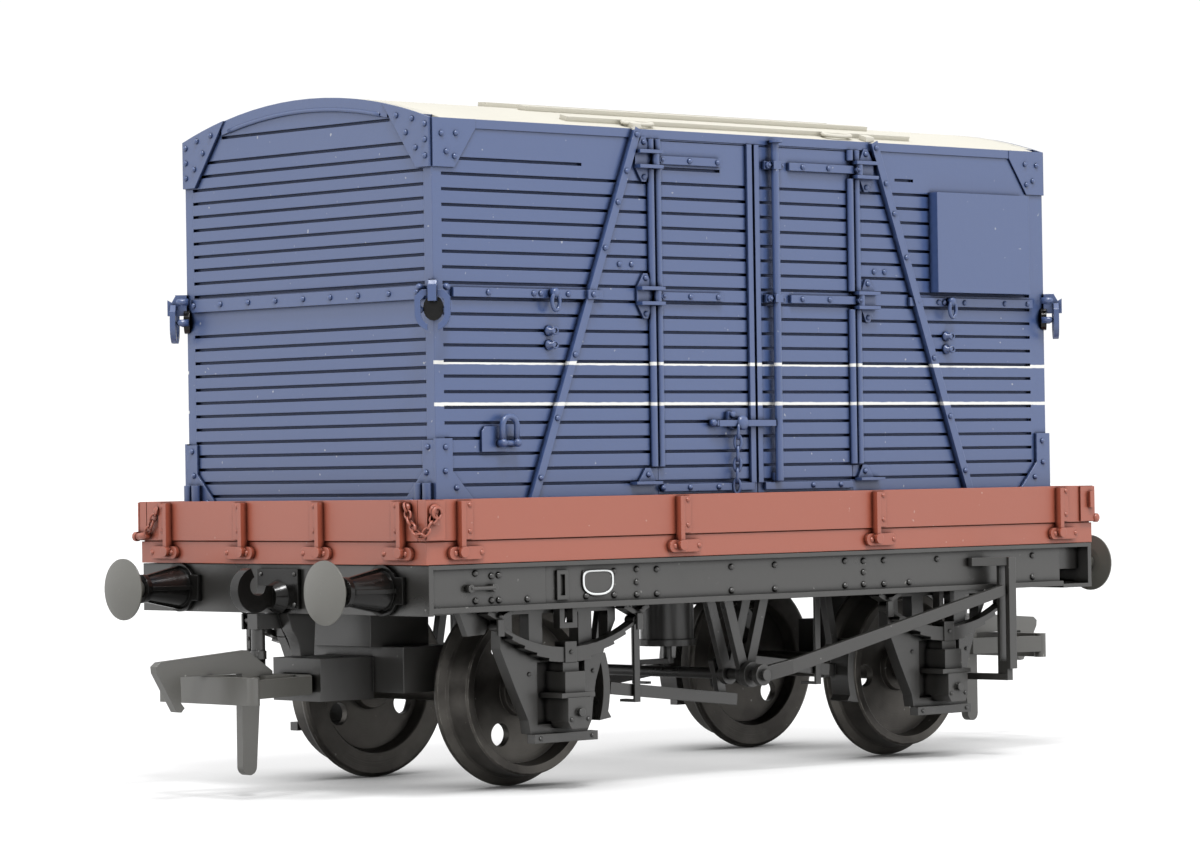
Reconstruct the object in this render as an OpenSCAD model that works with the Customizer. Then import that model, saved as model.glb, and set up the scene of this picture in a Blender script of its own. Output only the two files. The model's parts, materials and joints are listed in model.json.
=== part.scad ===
// Small-scale two-axle wagon with one-plank low sides, carrying a boarded
// container. +X runs along the wagon, +Z is up, and the wheel flanges stand
// on z = 0. The near side is -Y.

/* [Wheels] */
// Distance between the two axles
wheelbase = 40; // [36:0.5:44]
// Radius over the flange
flange_r = 6.96; // [6.6:0.02:7.2]
// Radius of the tread where it meets the flange
tread_r = 6.3; // [6.1:0.02:6.4]
// Distance between the backs of the two wheels on an axle
back_to_back = 14.5; // [14:0.1:15]
// Width of a wheel across flange and tread
wheel_w = 2.8; // [2.4:0.1:3.2]
// Radius of the axle
axle_r = 1.0; // [0.8:0.05:1.2]
// Radius of the holes in a wheel disc
disc_hole_r = 0.85; // [0.5:0.05:1]
// Distance of the disc holes from the axle
disc_hole_ring = 3.62; // [3.2:0.02:3.9]

/* [Underframe] */
// Length over the headstocks
frame_len = 69.74; // [60:0.5:84]
// Width over the solebars
frame_w = 32.7; // [31.5:0.1:34]
// Height of the underside of the solebars
sole_z = 13.1; // [12.8:0.1:13.4]
// Depth of the solebars
sole_h = 3.35; // [3:0.05:3.6]
// Thickness of the solebar flanges and of the headstock plate
flange_t = 0.4; // [0.3:0.05:0.6]
// Distance between the outer faces of the axle guards
guard_w = 26.8; // [26.4:0.1:27.2]
// Thickness of an axle guard
guard_t = 1.0; // [0.8:0.05:1.2]
// Height of the buffer centres
buffer_z = 14.7; // [14.4:0.05:15]
// Distance between the buffer centres
buffer_gap = 23.2; // [20:0.1:25]
// Length of a buffer from the headstock to its face
buffer_len = 5.8; // [5:0.1:7]
// Radius of a buffer head
buffer_head_r = 2.25; // [1.8:0.05:2.6]

/* [Wagon body] */
// Length of the body over its curb rails
body_len = 70.32; // [62:0.5:86]
// Width of the body over its curb rails
body_w = 32.88; // [31.6:0.1:34.4]
// Height of the underside of the curb rails
curb_z = 16.5; // [16.45:0.05:16.7]
// Height of the curb rails and of the floor boards
curb_h = 1.58; // [1.3:0.05:2]
// Height of the plank above the curb rail
plank_h = 2.95; // [2:0.05:5]
// Thickness of the planks
plank_t = 0.9; // [0.7:0.05:1.2]

/* [Container] */
// Length of the container
box_len = 64.3; // [56:0.5:66]
// Width of the container
box_w = 28.2; // [24:0.1:29.5]
// Height of the container side
box_h = 29.67; // [26:0.1:34]
// Rise of the roof from the eaves to the crown
roof_rise = 2.25; // [1.2:0.05:4]
// Thickness of the container walls
wall_t = 0.9; // [0.7:0.05:1.4]
// Height of one side board
side_board = 1.0935; // [0.9:0.01:1.4]
// Height of one end board
end_board = 0.99; // [0.9:0.01:1.4]
// Width of the grooves between boards
groove_w = 0.22; // [0.12:0.02:0.3]
// Depth of the grooves between boards
groove_d = 0.26; // [0.1:0.02:0.3]
// Width of the pair of side doors
door_w = 20.6; // [16:0.1:22]
// Thickness of the straps on the container
strap_t = 0.3; // [0.2:0.05:0.45]

/* [Couplings] */
// Distance of the coupling bar's front face from the headstock
coupling_reach = 7.1; // [6.6:0.1:8]
// Width of the coupling bar
coupling_w = 10.9; // [9:0.1:12]
// Height of the underside of the coupling bar
coupling_z = 6.8; // [6.5:0.05:7]
// Height of the coupling bar
coupling_h = 1.95; // [1.6:0.05:2]
// Thickness of the coupling hook
hook_t = 0.7; // [0.5:0.05:0.8]
// Radius of the hook's pivot pin
hook_pin_r = 0.3; // [0.2:0.02:0.34]
// Running clearance around pins, axle points and hooks
fit = 0.06; // [0.04:0.01:0.08]

/* [Hidden] */
$fn = 48;

NAVY = [0.16, 0.2, 0.36];
BAUXITE = [0.6, 0.3, 0.25];
BLACK = [0.12, 0.12, 0.12];
CREAM = [0.86, 0.85, 0.78];
STEEL = [0.2, 0.19, 0.18];

axle_x = wheelbase / 2;
axle_z = flange_r;
frame_x = frame_len / 2;
frame_y = frame_w / 2;
sole_top = sole_z + sole_h;
web_t = 0.75;
web_y = frame_y - flange_t;
deck_t = 2.1;
deck_z = curb_z - deck_t;
deck_y = web_y - web_t;
guard_y = guard_w / 2;
body_x = body_len / 2;
body_y = body_w / 2;
curb_top = curb_z + curb_h;
plank_top = curb_top + plank_h;
box_x = box_len / 2;
box_y = box_w / 2;
box_z = curb_top;
box_top = box_z + box_h;
roof_r = (box_y * box_y + roof_rise * roof_rise) / (2 * roof_rise);
roof_c = box_top + roof_rise - roof_r;
door_x = -0.45;
belt_z = box_top - 12.2;
post_w = 0.85;
coupling_x = frame_x + coupling_reach;
hook_x = coupling_x - 5.3;
hook_z = coupling_z + 1.2;

// Placing helpers
module both_sides() {
  children();
  mirror([0, 1, 0]) children();
}
module both_ends() {
  children();
  mirror([1, 0, 0]) children();
}
module turned_pair() {
  children();
  rotate(180) children();
}
// A flat outline drawn in X and Z, standing from y to y + t
module upright(y, t) {
  translate([0, y + t, 0]) rotate([90, 0, 0]) linear_extrude(t) children();
}
// A flat outline drawn in Y and Z, standing from x to x + t
module upright_end(x, t) {
  translate([x, 0, 0]) rotate([90, 0, 90]) linear_extrude(t) children();
}
// A box given by its lowest and highest corners
module block(a, b) {
  translate(a) cube(b - a);
}
// Points on an arc, from angle a to angle b in n steps
function arc(c, r, a, b, n) =
  [for (i = [0:n]) c + r * [cos(a + (b - a) * i / n), sin(a + (b - a) * i / n)]];
// A straight bar in the plane between two points
module bar2d(p, q, w) {
  d = q - p;
  s = [-d[1], d[0]] * w / (2 * norm(d));
  polygon([p - s, q - s, q + s, p + s]);
}

// ---------------- container ----------------
side_lines = [for (k = [0:23]) box_top - 3.9 - side_board * k];
function on_box(z) = z > box_z + 0.3 && z < box_top - 1;

module side_grooves(x0, x1) {
  for (z = side_lines)
    if (on_box(z))
      side_groove(x0, x1, z);
}

module side_groove(x0, x1, z) {
  block([x0, -box_y - 1, z - groove_w / 2], [x1, -box_y + groove_d, z + groove_w / 2]);
}

// The one groove above the rest, broken where the doors and the straps are
high_line = side_lines[0] + side_board;

door_top = box_top - 0.75;
door_foot = box_z + 2.9;

module side_panel() {
  difference() {
    block([-box_x, -box_y, box_z], [box_x, -box_y + wall_t, box_top]);
    block([door_x - door_w / 2, -box_y - 1, door_foot],
      [door_x + door_w / 2, -box_y + wall_t + 1, door_top]);
    side_grooves(-box_x + post_w, box_x - 1.7);
    side_groove(-box_x + 2.1, -17.9, high_line);
    side_groove(15, 17.1, high_line);
  }
}

module container_left_side() {
  color(NAVY) rotate(180) side_panel();
}

module container_right_side() {
  color(NAVY) side_panel();
}

// A pair of doors, each leaf with its own boards
module door_pair() {
  edge = 0.05;
  half = door_w / 2 - edge;
  for (s = [-1, 1])
    difference() {
      block([s > 0 ? door_x + edge : door_x - half, -box_y, door_foot + edge],
        [s > 0 ? door_x + half : door_x - edge, -box_y + wall_t, door_top - edge]);
      side_grooves(-box_x, box_x);
      if (s < 0) side_groove(door_x - door_w / 2 + 0.9, door_x - door_w / 2 + 6.8, high_line);
    }
}

module left_side_doors() {
  color(NAVY) rotate(180) door_pair();
}

module right_side_doors() {
  color(NAVY) door_pair();
}

end_lines = concat([for (k = [0:10]) box_top - 1.65 - end_board * k],
  [for (k = [13:28]) box_top - 1.65 - end_board * k]);

// Outline of an end, with its arched top
module end_outline(r, y) {
  intersection() {
    translate([-y, box_z]) square([2 * y, box_h + roof_rise]);
    translate([0, roof_c]) circle(r, $fn = 192);
  }
}

module end_panel() {
  difference() {
    upright_end(-box_x, wall_t) end_outline(roof_r, box_y - wall_t);
    for (z = end_lines)
      if (z > box_z + 0.3)
        block([-box_x - 1, -box_y + 0.4, z - groove_w / 2],
          [-box_x + groove_d, box_y - 0.4, z + groove_w / 2]);
    block([-box_x - 1, -box_y + 4.45, box_top + 0.1 - groove_w / 2],
      [-box_x + groove_d, box_y - 4.45, box_top + 0.1 + groove_w / 2]);
  }
}

module container_front_end() {
  color(NAVY) end_panel();
}

module container_rear_end() {
  color(NAVY) rotate(180) end_panel();
}

module container_floor() {
  color(NAVY)
    block([-box_x + wall_t, -box_y + wall_t, box_z],
      [box_x - wall_t, box_y - wall_t, box_z + wall_t]);
}

module container_roof() {
  sheet_t = 0.6;
  color(CREAM)
    upright_end(-box_x + wall_t, box_len - 2 * wall_t)
      difference() {
        intersection() {
          translate([-box_y, box_top]) square([box_w, 2 * roof_rise]);
          translate([0, roof_c]) circle(roof_r, $fn = 192);
        }
        translate([0, roof_c]) circle(roof_r - sheet_t, $fn = 192);
      }
}

// Slanting strap from the eaves beside the doors down to the side's foot
diag_top = 12.35;
diag_foot = 22.75;
diag_foot_z = box_z + 2.6;

module diagonal_strap(top, foot, w) {
  upright(-box_y - 0.45, 0.45)
    bar2d([-top, box_top], [-foot, diag_foot_z], w);
}

// Side gusset, belt strap and foot bracket at one top corner
module side_corner_irons() {
  upright(-box_y - 0.15, 0.15)
    polygon([[-box_x, box_top], [-box_x, box_top - 3.45],
      [-box_x + 2, box_top - 3.45], [-box_x + 4, box_top - 0.65],
      [-box_x + 4, box_top]]);
  block([-box_x + 1.6, -box_y - strap_t, belt_z - 0.33],
    [-diag_top - 3.9, -box_y, belt_z + 0.33]);
  upright(-box_y - 0.25, 0.25)
    polygon([[-box_x - 0.2, box_z + 0.5], [-box_x - 0.2, box_z + 7.2],
      [-box_x + 1.35, box_z + 7.2], [-box_x + 1.35, box_z + 4.9],
      [-box_x + 4.1, box_z + 2], [-box_x + 4.1, box_z + 0.5]]);
}

module side_straps() {
  color(NAVY)
    turned_pair() {
      diagonal_strap(diag_top + 0.25, diag_foot + 0.65, 0.66);
      mirror([1, 0, 0]) diagonal_strap(diag_top, diag_foot, 0.72);
      block([-17.95, -box_y - 0.6, belt_z - 0.33], [-17, -box_y, belt_z + 0.33]);
      side_corner_irons();
      mirror([1, 0, 0]) side_corner_irons();
      block([-box_x + 4, -box_y - 0.1, box_top - 0.65],
        [box_x - 4, -box_y, box_top]);
    }
}

// One hinge: two lugs round a knuckle, a backing plate and a riveted strap
hinge_zs = [belt_z, box_top - 2.2];
module hinge(out) {
  lug_d = 0.75;
  translate([-out, 0, 0]) {
    for (s = [-1, 1])
      block([-12.1, -box_y - lug_d, s * 0.55 - 0.13], [-9.75, -box_y, s * 0.55 + 0.13]);
    upright(-box_y - 0.2, 0.2)
      polygon([[-12.1, -0.6], [-11.45, -1.65], [-11.05, -1.65], [-10.5, -0.6],
        [-10.5, 0.6], [-11.05, 1.65], [-11.45, 1.65], [-12.1, 0.6]]);
    translate([-10.25, -box_y - 0.42, -0.45]) cylinder(h = 0.9, r = 0.3);
  }
  block([-10 - out, -box_y - strap_t, -0.3], [-3.6, -box_y, 0.3]);
}

module foot_hinge() {
  block([-13.1, -box_y - 0.75, 0], [-10.5, -box_y, 0.22]);
  upright(-box_y - 0.2, 0.2)
    polygon([[-12.4, 0.2], [-10.7, 0.2], [-11.2, 1.2], [-11.7, 1.2]]);
  block([-12.6, -box_y - 0.5, -1.2], [-10.8, -box_y, -0.9]);
  block([-10, -box_y - strap_t, -0.55], [-0.6, -box_y, 0]);
}

module door_hinges() {
  color(NAVY)
    turned_pair()
      translate([door_x, 0, 0])
        for (m = [0, 1])
          mirror([m, 0, 0]) {
            for (z = hinge_zs) translate([0, 0, z]) hinge(m == 0 ? 0.2 : 0.8);
            translate([0, 0, box_z + 3.7]) foot_hinge();
          }
}

// Round edge bars, centre strips, locking post and latch of one pair of doors
bar_top = box_top - 0.7;
bar_foot = box_z + 3.2;
module door_bar(x, r, lift) {
  translate([x, -box_y - lift, bar_foot]) cylinder(h = bar_top - bar_foot, r = r);
}

module door_bar_set() {
  translate([door_x, 0, 0]) {
    for (s = [-1, 1])
      difference() {
        union() {
          door_bar(s * (s < 0 ? 10.75 : 11), 0.29, 0.12);
          door_bar(s * (s < 0 ? 10.05 : 10.3), 0.29, 0.12);
        }
        for (z = hinge_zs)
          block([s * 10.5 - 2, -box_y - 2, z - 0.7], [s * 10.5 + 2, -box_y, z + 0.7]);
        for (z = hinge_zs)
          block([s * 11.2 - 0.7, -box_y - 0.2, z - 1.7],
            [s * 11.2 + 0.7, -box_y, z + 1.7]);
        block([s * 10.5 - 2, -box_y - 2, bar_foot - 1],
          [s * 10.5 + 2, -box_y, box_z + 5]);
        block([s * 10.5 - 2, -box_y, bar_foot - 1],
          [s * 10.5 + 2, -box_y + 2, box_top]);
      }
    block([-0.85, -box_y - 0.25, bar_foot + 0.5], [-0.35, -box_y, bar_top]);
    block([-0.1, -box_y - 0.25, bar_foot + 0.5], [0.4, -box_y, bar_top]);
  }
  // locking post with its cap and two clamps
  post_x = 1.35;
  post_y = -box_y - 0.55;
  translate([post_x, post_y, box_z + 3.8]) cylinder(h = box_h - 4.1, r = 0.3);
  translate([post_x, post_y - 0.1, box_top - 0.5]) cylinder(h = 0.2, r = 0.5);
  for (z = hinge_zs)
    difference() {
      block([post_x - 0.95, -box_y - 0.85, z - 0.3], [post_x + 0.95, -box_y, z + 0.3]);
      translate([post_x, post_y, z - 1]) cylinder(h = 2, r = 0.3);
      for (s = [-1, 1])
        block([post_x + s * 0.7 - 0.3, -box_y - 2, z - 1],
          [post_x + s * 0.7 + 0.3, -box_y - 0.4, z + 1]);
    }
  block([post_x - 0.3, post_y + 0.2, box_z + 3.8], [post_x + 0.3, -box_y, box_z + 4.4]);
  // latch bar on its boss
  latch_z = box_z + 8.15;
  difference() {
    block([-5.2, -box_y - 0.65, latch_z - 0.2], [0.95, -box_y - 0.4, latch_z + 0.2]);
    translate([post_x, post_y, latch_z - 1]) cylinder(h = 2, r = 0.3);
  }
  translate([-3.2, -box_y, latch_z]) rotate([90, 0, 0]) cylinder(h = 0.4, r = 0.45);
  translate([-5.1, -box_y, latch_z]) rotate([90, 0, 0]) cylinder(h = 0.4, r = 0.25);
}

module door_bars() {
  color(NAVY) turned_pair() door_bar_set();
}

module label_boards() {
  color(NAVY)
    turned_pair()
      block([18.85, -box_y - 0.9, belt_z + 0.75], [29.55, -box_y, belt_z + 8.55]);
}

// Gussets, arched rim, belt, corner strips and foot brackets of one end
module end_iron_set() {
  t = 0.25;
  for (m = [0, 1])
    mirror([0, m, 0]) {
      upright_end(-box_x - t, t)
        intersection() {
          polygon([[-box_y, box_top - 3.45], [-box_y + 1.4, box_top - 3.45],
            [-box_y + 5, box_top + 1.3], [-box_y + 3.6, box_top + 2],
            [-box_y, box_top + 2]]);
          translate([0, roof_c]) circle(roof_r, $fn = 192);
        }
      upright_end(-box_x - 0.2, 0.2)
        polygon([[-box_y, box_z + 0.5], [-box_y, box_z + 7.1],
          [-box_y + 1.2, box_z + 7.1], [-box_y + 1.2, box_z + 4.9],
          [-box_y + 3.1, box_z + 3], [-box_y + 3.1, box_z + 0.5]]);
      translate([-box_x - 0.45, -box_y + 0.45, box_z + 0.5])
        cylinder(h = 3.6, r = 0.35);
      translate([-box_x - 0.45, -box_y + 1.35, box_z + 0.5])
        cylinder(h = 3.6, r = 0.35);
    }
  upright_end(-box_x - 0.12, 0.12)
    intersection() {
      difference() {
        translate([0, roof_c]) circle(roof_r, $fn = 192);
        translate([0, roof_c]) circle(roof_r - 0.95, $fn = 192);
      }
      translate([-box_y + 4.6, box_top]) square([box_w - 9.2, 2 * roof_rise]);
    }
  block([-box_x - strap_t, -box_y + 0.9, belt_z - 0.5],
    [-box_x, box_y - 0.9, belt_z + 0.45]);
}

module end_irons() {
  color(NAVY) turned_pair() end_iron_set();
}

// Corner lug that stands out diagonally, with a ring hanging in it
module lifting_ring() {
  ring_w = 2.5;
  ring_h = 2.9;
  wire = 0.42;
  reach = 0.95;
  translate([-box_x, -box_y, belt_z])
    rotate(45) {
      // the local -X axis points straight out from the corner
      difference() {
        block([-1.45, -0.3, -0.7], [0, 0.3, 0.85]);
        translate([-1.5, 0, 0.85]) rotate([0, 30, 0]) cube([1.2, 2, 0.6], center = true);
      }
      translate([-reach, 0, -ring_h / 2 + 0.1])
        rotate([90, 0, 90])
          translate([0, 0, -wire / 2])
            linear_extrude(wire)
              difference() {
                ring_outline(ring_w, ring_h);
                ring_outline(ring_w - 2 * wire, ring_h - 2 * wire);
                square([0.6 + 2 * fit, 10], center = true);
              }
    }
}

// A ring outline with a broad round foot, about its own middle
module ring_outline(w, h) {
  r = w / 2;
  translate([0, -h / 2 + r]) circle(r);
  translate([-w / 2, -h / 2 + r]) square([w, h - r - w * 0.2]);
  polygon([[-w / 2, h / 2 - w * 0.2], [w / 2, h / 2 - w * 0.2], [w * 0.3, h / 2],
    [-w * 0.3, h / 2]]);
}

module lifting_rings() {
  color(NAVY)
    both_ends()
      both_sides()
        lifting_ring();
}

// Raised roof battens and the eaves lugs above the slanting straps
module roof_fittings() {
  color(CREAM)
    both_sides() {
      for (y = [-12.4, -7.9, -3.5]) roof_batten(y, 18.1);
      for (x = [-diag_top, diag_top])
        upright_end(x - 0.45, 0.9)
          polygon([[-box_y, box_top + 0.01], [-box_y, box_top + 0.4],
            [-box_y + 0.75, box_top + 0.65], [-box_y + 0.75, roof_z(0.75) + 0.01]]);
    }
}

// Height of the roof at a distance in from its eaves
function roof_z(inset) = roof_c + sqrt(pow(roof_r, 2) - pow(box_y - inset, 2));

module roof_batten(y, half) {
  a = asin(-y / roof_r);
  upright_end(-half, 2 * half)
    translate([0, roof_c])
      rotate(a)
        translate([-0.4, roof_r]) square([0.8, 0.35]);
}

// ---------------- wagon body ----------------
module wagon_floor() {
  color(BAUXITE)
    block([-body_x + plank_t, -body_y + plank_t, curb_z],
      [body_x - plank_t, body_y - plank_t, curb_top]);
}

module curb_rails() {
  inset = 0.14;
  color(BAUXITE) {
    both_sides()
      block([-body_x + inset, -body_y + inset, curb_z],
        [body_x - inset, -body_y + plank_t, curb_top]);
    both_ends()
      block([-body_x + inset, -body_y + plank_t, curb_z],
        [-body_x + plank_t, body_y - plank_t, curb_top]);
  }
}

side_plank_t = plank_t - 0.06;

module side_plank() {
  lift = 0.08;
  block([-body_x + 0.03, -body_y + 0.04, curb_top + lift],
    [body_x - 0.03, -body_y + 0.04 + side_plank_t, plank_top]);
  block([-body_x + 0.3, -body_y + 0.25, curb_top],
    [body_x - 0.3, -body_y + plank_t - 0.1, curb_top + lift]);
}

module left_side_plank() {
  color(BAUXITE) rotate(180) side_plank();
}

module right_side_plank() {
  color(BAUXITE) side_plank();
}

module end_plank() {
  lift = 0.08;
  y = body_y - plank_t - 0.04;
  block([-body_x + 0.04, -y, curb_top + lift],
    [-body_x + 0.04 + side_plank_t, y, plank_top]);
  block([-body_x + 0.25, -y, curb_top],
    [-body_x + plank_t - 0.1, y, curb_top + lift]);
}

module front_end_plank() {
  color(BAUXITE) end_plank();
}

module rear_end_plank() {
  color(BAUXITE) rotate(180) end_plank();
}

// A drop-side hinge: riveted flange, raised rib, knuckle and oval casting.
// Drawn at x = 0 on a face at y = 0 that looks towards -Y.
module hinge_strap() {
  plank_face = 0.04;
  rail_face = 0.14;
  block([-0.45, -0.16, curb_top + 0.15], [0.5, plank_face, plank_top - 0.12]);
  block([-0.85, -0.5, curb_top + 0.02], [-0.45, plank_face, plank_top - 0.12]);
  block([-0.85, -0.5, curb_z + 0.8], [-0.45, rail_face, curb_top + 0.02]);
  translate([-0.65, -0.1, curb_z + 0.85])
    rotate([90, 0, 0]) cylinder(h = 0.5, r = 0.38);
  translate([-0.1, rail_face, curb_z + 0.78])
    rotate([90, 0, 0])
      linear_extrude(0.34) {
        square([2.3, 0.9], center = true);
        for (s = [-1, 1]) translate([s * 1.15, 0]) circle(0.45);
      }
}

side_strap_xs = [10.35, 31.45];
end_strap_ys = [4.4, 13.35];

module side_hinge_straps() {
  color(BAUXITE)
    turned_pair()
      for (x = side_strap_xs, s = [-1, 1])
        translate([s * x * body_len / 70.32, -body_y, 0]) hinge_strap();
}

module end_hinge_straps() {
  color(BAUXITE)
    turned_pair()
      for (y = end_strap_ys, s = [-1, 1])
        translate([-body_x, s * y * body_w / 32.88, 0])
          rotate(-90) mirror([1, 0, 0]) hinge_strap();
}

module corner_plates() {
  color(BAUXITE)
    both_ends()
      both_sides() {
        block([-body_x, -body_y - 0.12, curb_top + 0.12],
          [-body_x + 1.7, -body_y + 0.04, plank_top - 0.05]);
        block([-body_x + 0.35, -body_y - 0.42, curb_top + 1.2],
          [-body_x + 0.85, -body_y - 0.12, curb_top + 2.5]);
      }
}

// ---------------- underframe ----------------
module chassis_plate() {
  rail_w = 1.5;
  color(BLACK) {
    block([-frame_x + flange_t, -deck_y, deck_z], [frame_x - flange_t, deck_y, curb_z]);
    both_sides()
      block([-frame_x + 3.6, -deck_y, sole_z + 0.05],
        [frame_x - 3.6, -deck_y + rail_w, deck_z]);
    both_sides()
      block([-frame_x + 8, -5.2, sole_z - 0.1], [frame_x - 8, -4.4, deck_z]);
    for (x = [-9, 9])
      block([x - 0.4, -4.4, sole_z - 0.1], [x + 0.4, 4.4, deck_z]);
  }
}

module headstock() {
  pocket = 3.4;
  h0 = sole_z - 0.15;
  color(BLACK) {
    block([-frame_x, -frame_y, h0], [-frame_x + flange_t, frame_y, sole_top]);
    block([-frame_x + flange_t, -deck_y + 0.3, h0],
      [-frame_x + pocket, deck_y - 0.3, h0 + flange_t]);
    both_sides()
      block([-frame_x + flange_t, 7.5, h0 + flange_t],
        [-frame_x + pocket, 8.1, deck_z]);
    // open pocket behind the headstock at its left-hand end
    block([-frame_x + flange_t, deck_y - 0.3, h0],
      [-frame_x + pocket, frame_y, h0 + 0.3]);
    block([-frame_x + flange_t, deck_y, sole_top - 0.3],
      [-frame_x + pocket, frame_y, sole_top]);
  }
}

module front_headstock() {
  headstock();
}

module rear_headstock() {
  rotate(180) headstock();
}

// Channel solebar: deep web with a flange at its top and at its foot
module solebar() {
  x0 = -frame_x + flange_t;
  x1 = frame_x - 3.4;
  color(BLACK) {
    block([x0, -web_y, sole_z], [x1, -deck_y, sole_top]);
    block([x0, -frame_y, sole_z], [x1, -web_y, sole_z + flange_t]);
    block([x0, -frame_y, sole_top - 0.3], [x1, -web_y, sole_top]);
    // doubled stretch towards the front
    block([x0, -web_y - 0.12, sole_z + flange_t],
      [-23.8, -web_y, sole_top - 0.3]);
  }
}

module left_solebar() {
  rotate(180) solebar();
}

module right_solebar() {
  solebar();
}

// Grab handle, label clip and blank plate on one solebar
module solebar_fitting_set() {
  zc = (sole_z + sole_top) / 2;
  step = 0.12;
  for (x = [-31.1, -28.9])
    translate([x, -web_y - step, zc])
      rotate([90, 0, 0]) cylinder(h = 0.45, r = 0.28);
  translate([-31.1, -web_y - step - 0.35, zc])
    rotate([0, 90, 0]) cylinder(h = 2.2, r = 0.16);
  upright(-web_y - 0.2, 0.2)
    translate([-22.2, zc])
      difference() {
        square([1.05, 2.1], center = true);
        square([0.45, 1.5], center = true);
      }
  upright(-web_y - 0.1, 0.1)
    translate([-18.7, zc + 0.15]) {
      translate([-1.45, 0]) square([2.9, 0.8]);
      intersection() {
        scale([1, 0.75]) circle(1.45);
        translate([-2, -2]) square([4, 2]);
      }
    }
}

module solebar_fittings() {
  color(BLACK) turned_pair() solebar_fitting_set();
}

// Axle guard: a plate with two splayed legs, windows above and a keeper below
module guard_outline() {
  polygon([[-3, 4.1], [2.5, 4.1], [2.95, 4.9], [3.1, 6.2], [3.4, 7.7], [4.3, 10],
    [5.4, 12], [5.4, deck_z], [-5.7, deck_z], [-5.8, 10.3], [-4.4, 7.4],
    [-3.2, 5.1]]);
}

module axle_guard() {
  difference() {
    upright(-guard_y, guard_t)
      difference() {
        guard_outline();
        translate([-1.75, 10]) square([3.5, deck_z - 1.7 - 10]);
        for (s = [-1, 1])
          translate([s * 3.85 - 0.8, 10.6]) square([1.6, deck_z - 1.7 - 10.6]);
      }
    // horn gap that the axlebox stands in
    block([-2.3, -guard_y - 1, 4.75], [2.3, -guard_y + 0.6, 9.2]);
    translate([0, -guard_y - 1, axle_z]) rotate([-90, 0, 0]) cylinder(h = 4, r = 0.75);
  }
  block([-3.05, -guard_y - 0.5, 3.45], [3.05, -guard_y + 0.35, 4.1]);
}

module at_axles() {
  for (x = [-axle_x, axle_x]) translate([x, 0, 0]) children();
}

module axle_guards() {
  color(BLACK) turned_pair() at_axles() axle_guard();
}

// Leaf spring: stacked arcs, held at the middle by a buckle
spring_half = 6.6;
spring_sag = 1.75;
spring_r = (spring_half * spring_half + spring_sag * spring_sag) / (2 * spring_sag);
spring_top = 10.25;
leaf_t = 0.24;

module leaf(half, drop) {
  c = [0, spring_top + spring_r];
  a = asin(half / (spring_r + drop));
  polygon(concat(arc(c, spring_r + drop, -90 - a, -90 + a, 16),
    arc(c, spring_r + drop + leaf_t, -90 + a, -90 - a, 16)));
}

module leaf_spring() {
  y0 = -guard_y - 1.0;
  upright(y0, 0.95) {
    for (k = [0:4]) leaf(spring_half - 1.15 * k, (leaf_t - 0.03) * k);
  }
  block([-0.55, y0 - 0.1, 9.15], [0.55, -guard_y, 10.65]);
  for (s = [-1, 1])
    translate([s * spring_half, y0, spring_top + spring_sag - 0.05])
      rotate([-90, 0, 0]) cylinder(h = 0.95, r = 0.34);
}

module leaf_springs() {
  color(BLACK) both_sides() at_axles() leaf_spring();
}

// Hanger bracket and link at each spring eye, and the stop above the buckle
module spring_hanger() {
  z1 = spring_top + spring_sag;
  y0 = -guard_y - 1.25;
  for (s = [-1, 1]) {
    block([s * (spring_half + 0.15) - 0.28, y0, z1 - 0.75],
      [s * (spring_half + 0.15) + 0.28, y0 + 0.2, z1 + 0.45]);
    upright(y0 + 0.2, 1.0) {
      bar2d([s * spring_half, z1 + 0.45], [s * (spring_half - 1.2), sole_z - 0.1], 0.35);
      bar2d([s * spring_half, z1 + 0.45], [s * (spring_half + 1.2), sole_z - 0.1], 0.35);
    }
  }
  upright(-guard_y - 0.9, 0.7)
    difference() {
      translate([-0.85, spring_top + 1.35]) square([1.7, sole_z - spring_top - 1.35]);
      translate([-0.4, spring_top + 1.75]) square([0.8, 5]);
    }
}

module spring_hangers() {
  color(BLACK) {
    both_sides() at_axles() spring_hanger();
    // gusset behind the outer hanger
    turned_pair()
      upright(-guard_y + 0.05, 0.6)
        polygon([[-axle_x - 9.6, sole_z], [-axle_x - 6.2, sole_z],
          [-axle_x - 7.2, 11.4], [-axle_x - 8.8, 11.3]]);
  }
}

// Axlebox in stepped tiers, with the pointed bearing for the axle's end
point_r = 0.1;
point_y = 13.0;
cone_y = 11.7;

module axlebox() {
  inner = -guard_y + 0.6;
  difference() {
    union() {
      block([-0.75, -guard_y - 1.05, 8.5], [0.75, inner, 9.15]);
      block([-0.95, -guard_y - 1.5, 7.0], [0.95, inner, 8.5]);
      block([-1.6, -guard_y - 1.85, 6.65], [1.6, inner, 7.0]);
      block([-1.1, -guard_y - 1.95, 4.95], [1.1, inner, 6.65]);
      upright(-guard_y - 1.95, 1.95)
        polygon([[-1.1, 4.95], [-0.8, 4.45], [0.8, 4.45], [1.1, 4.95]]);
    }
    bearing_cone();
  }
  translate([0, -guard_y - 1.95, 5.6]) rotate([90, 0, 0]) cylinder(h = 0.3, r = 0.3);
}

module bearing_cone() {
  slope = (axle_r - point_r) / (point_y - cone_y);
  deep = point_y + 0.15;
  mouth = guard_y - 1.2;
  translate([0, -deep, axle_z])
    rotate([-90, 0, 0])
      cylinder(h = deep - mouth, r1 = point_r + fit,
        r2 = point_r + 2 * fit + slope * (point_y - mouth));
}

module axleboxes() {
  color(BLACK) both_sides() at_axles() axlebox();
}

// ---------------- buffers and drawgear ----------------
module at_buffers() {
  both_ends()
    for (s = [-1, 1])
      translate([-frame_x, s * buffer_gap / 2, buffer_z])
        rotate([0, -90, 0]) children();
}

shank_len = buffer_len - 2.3;

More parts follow.
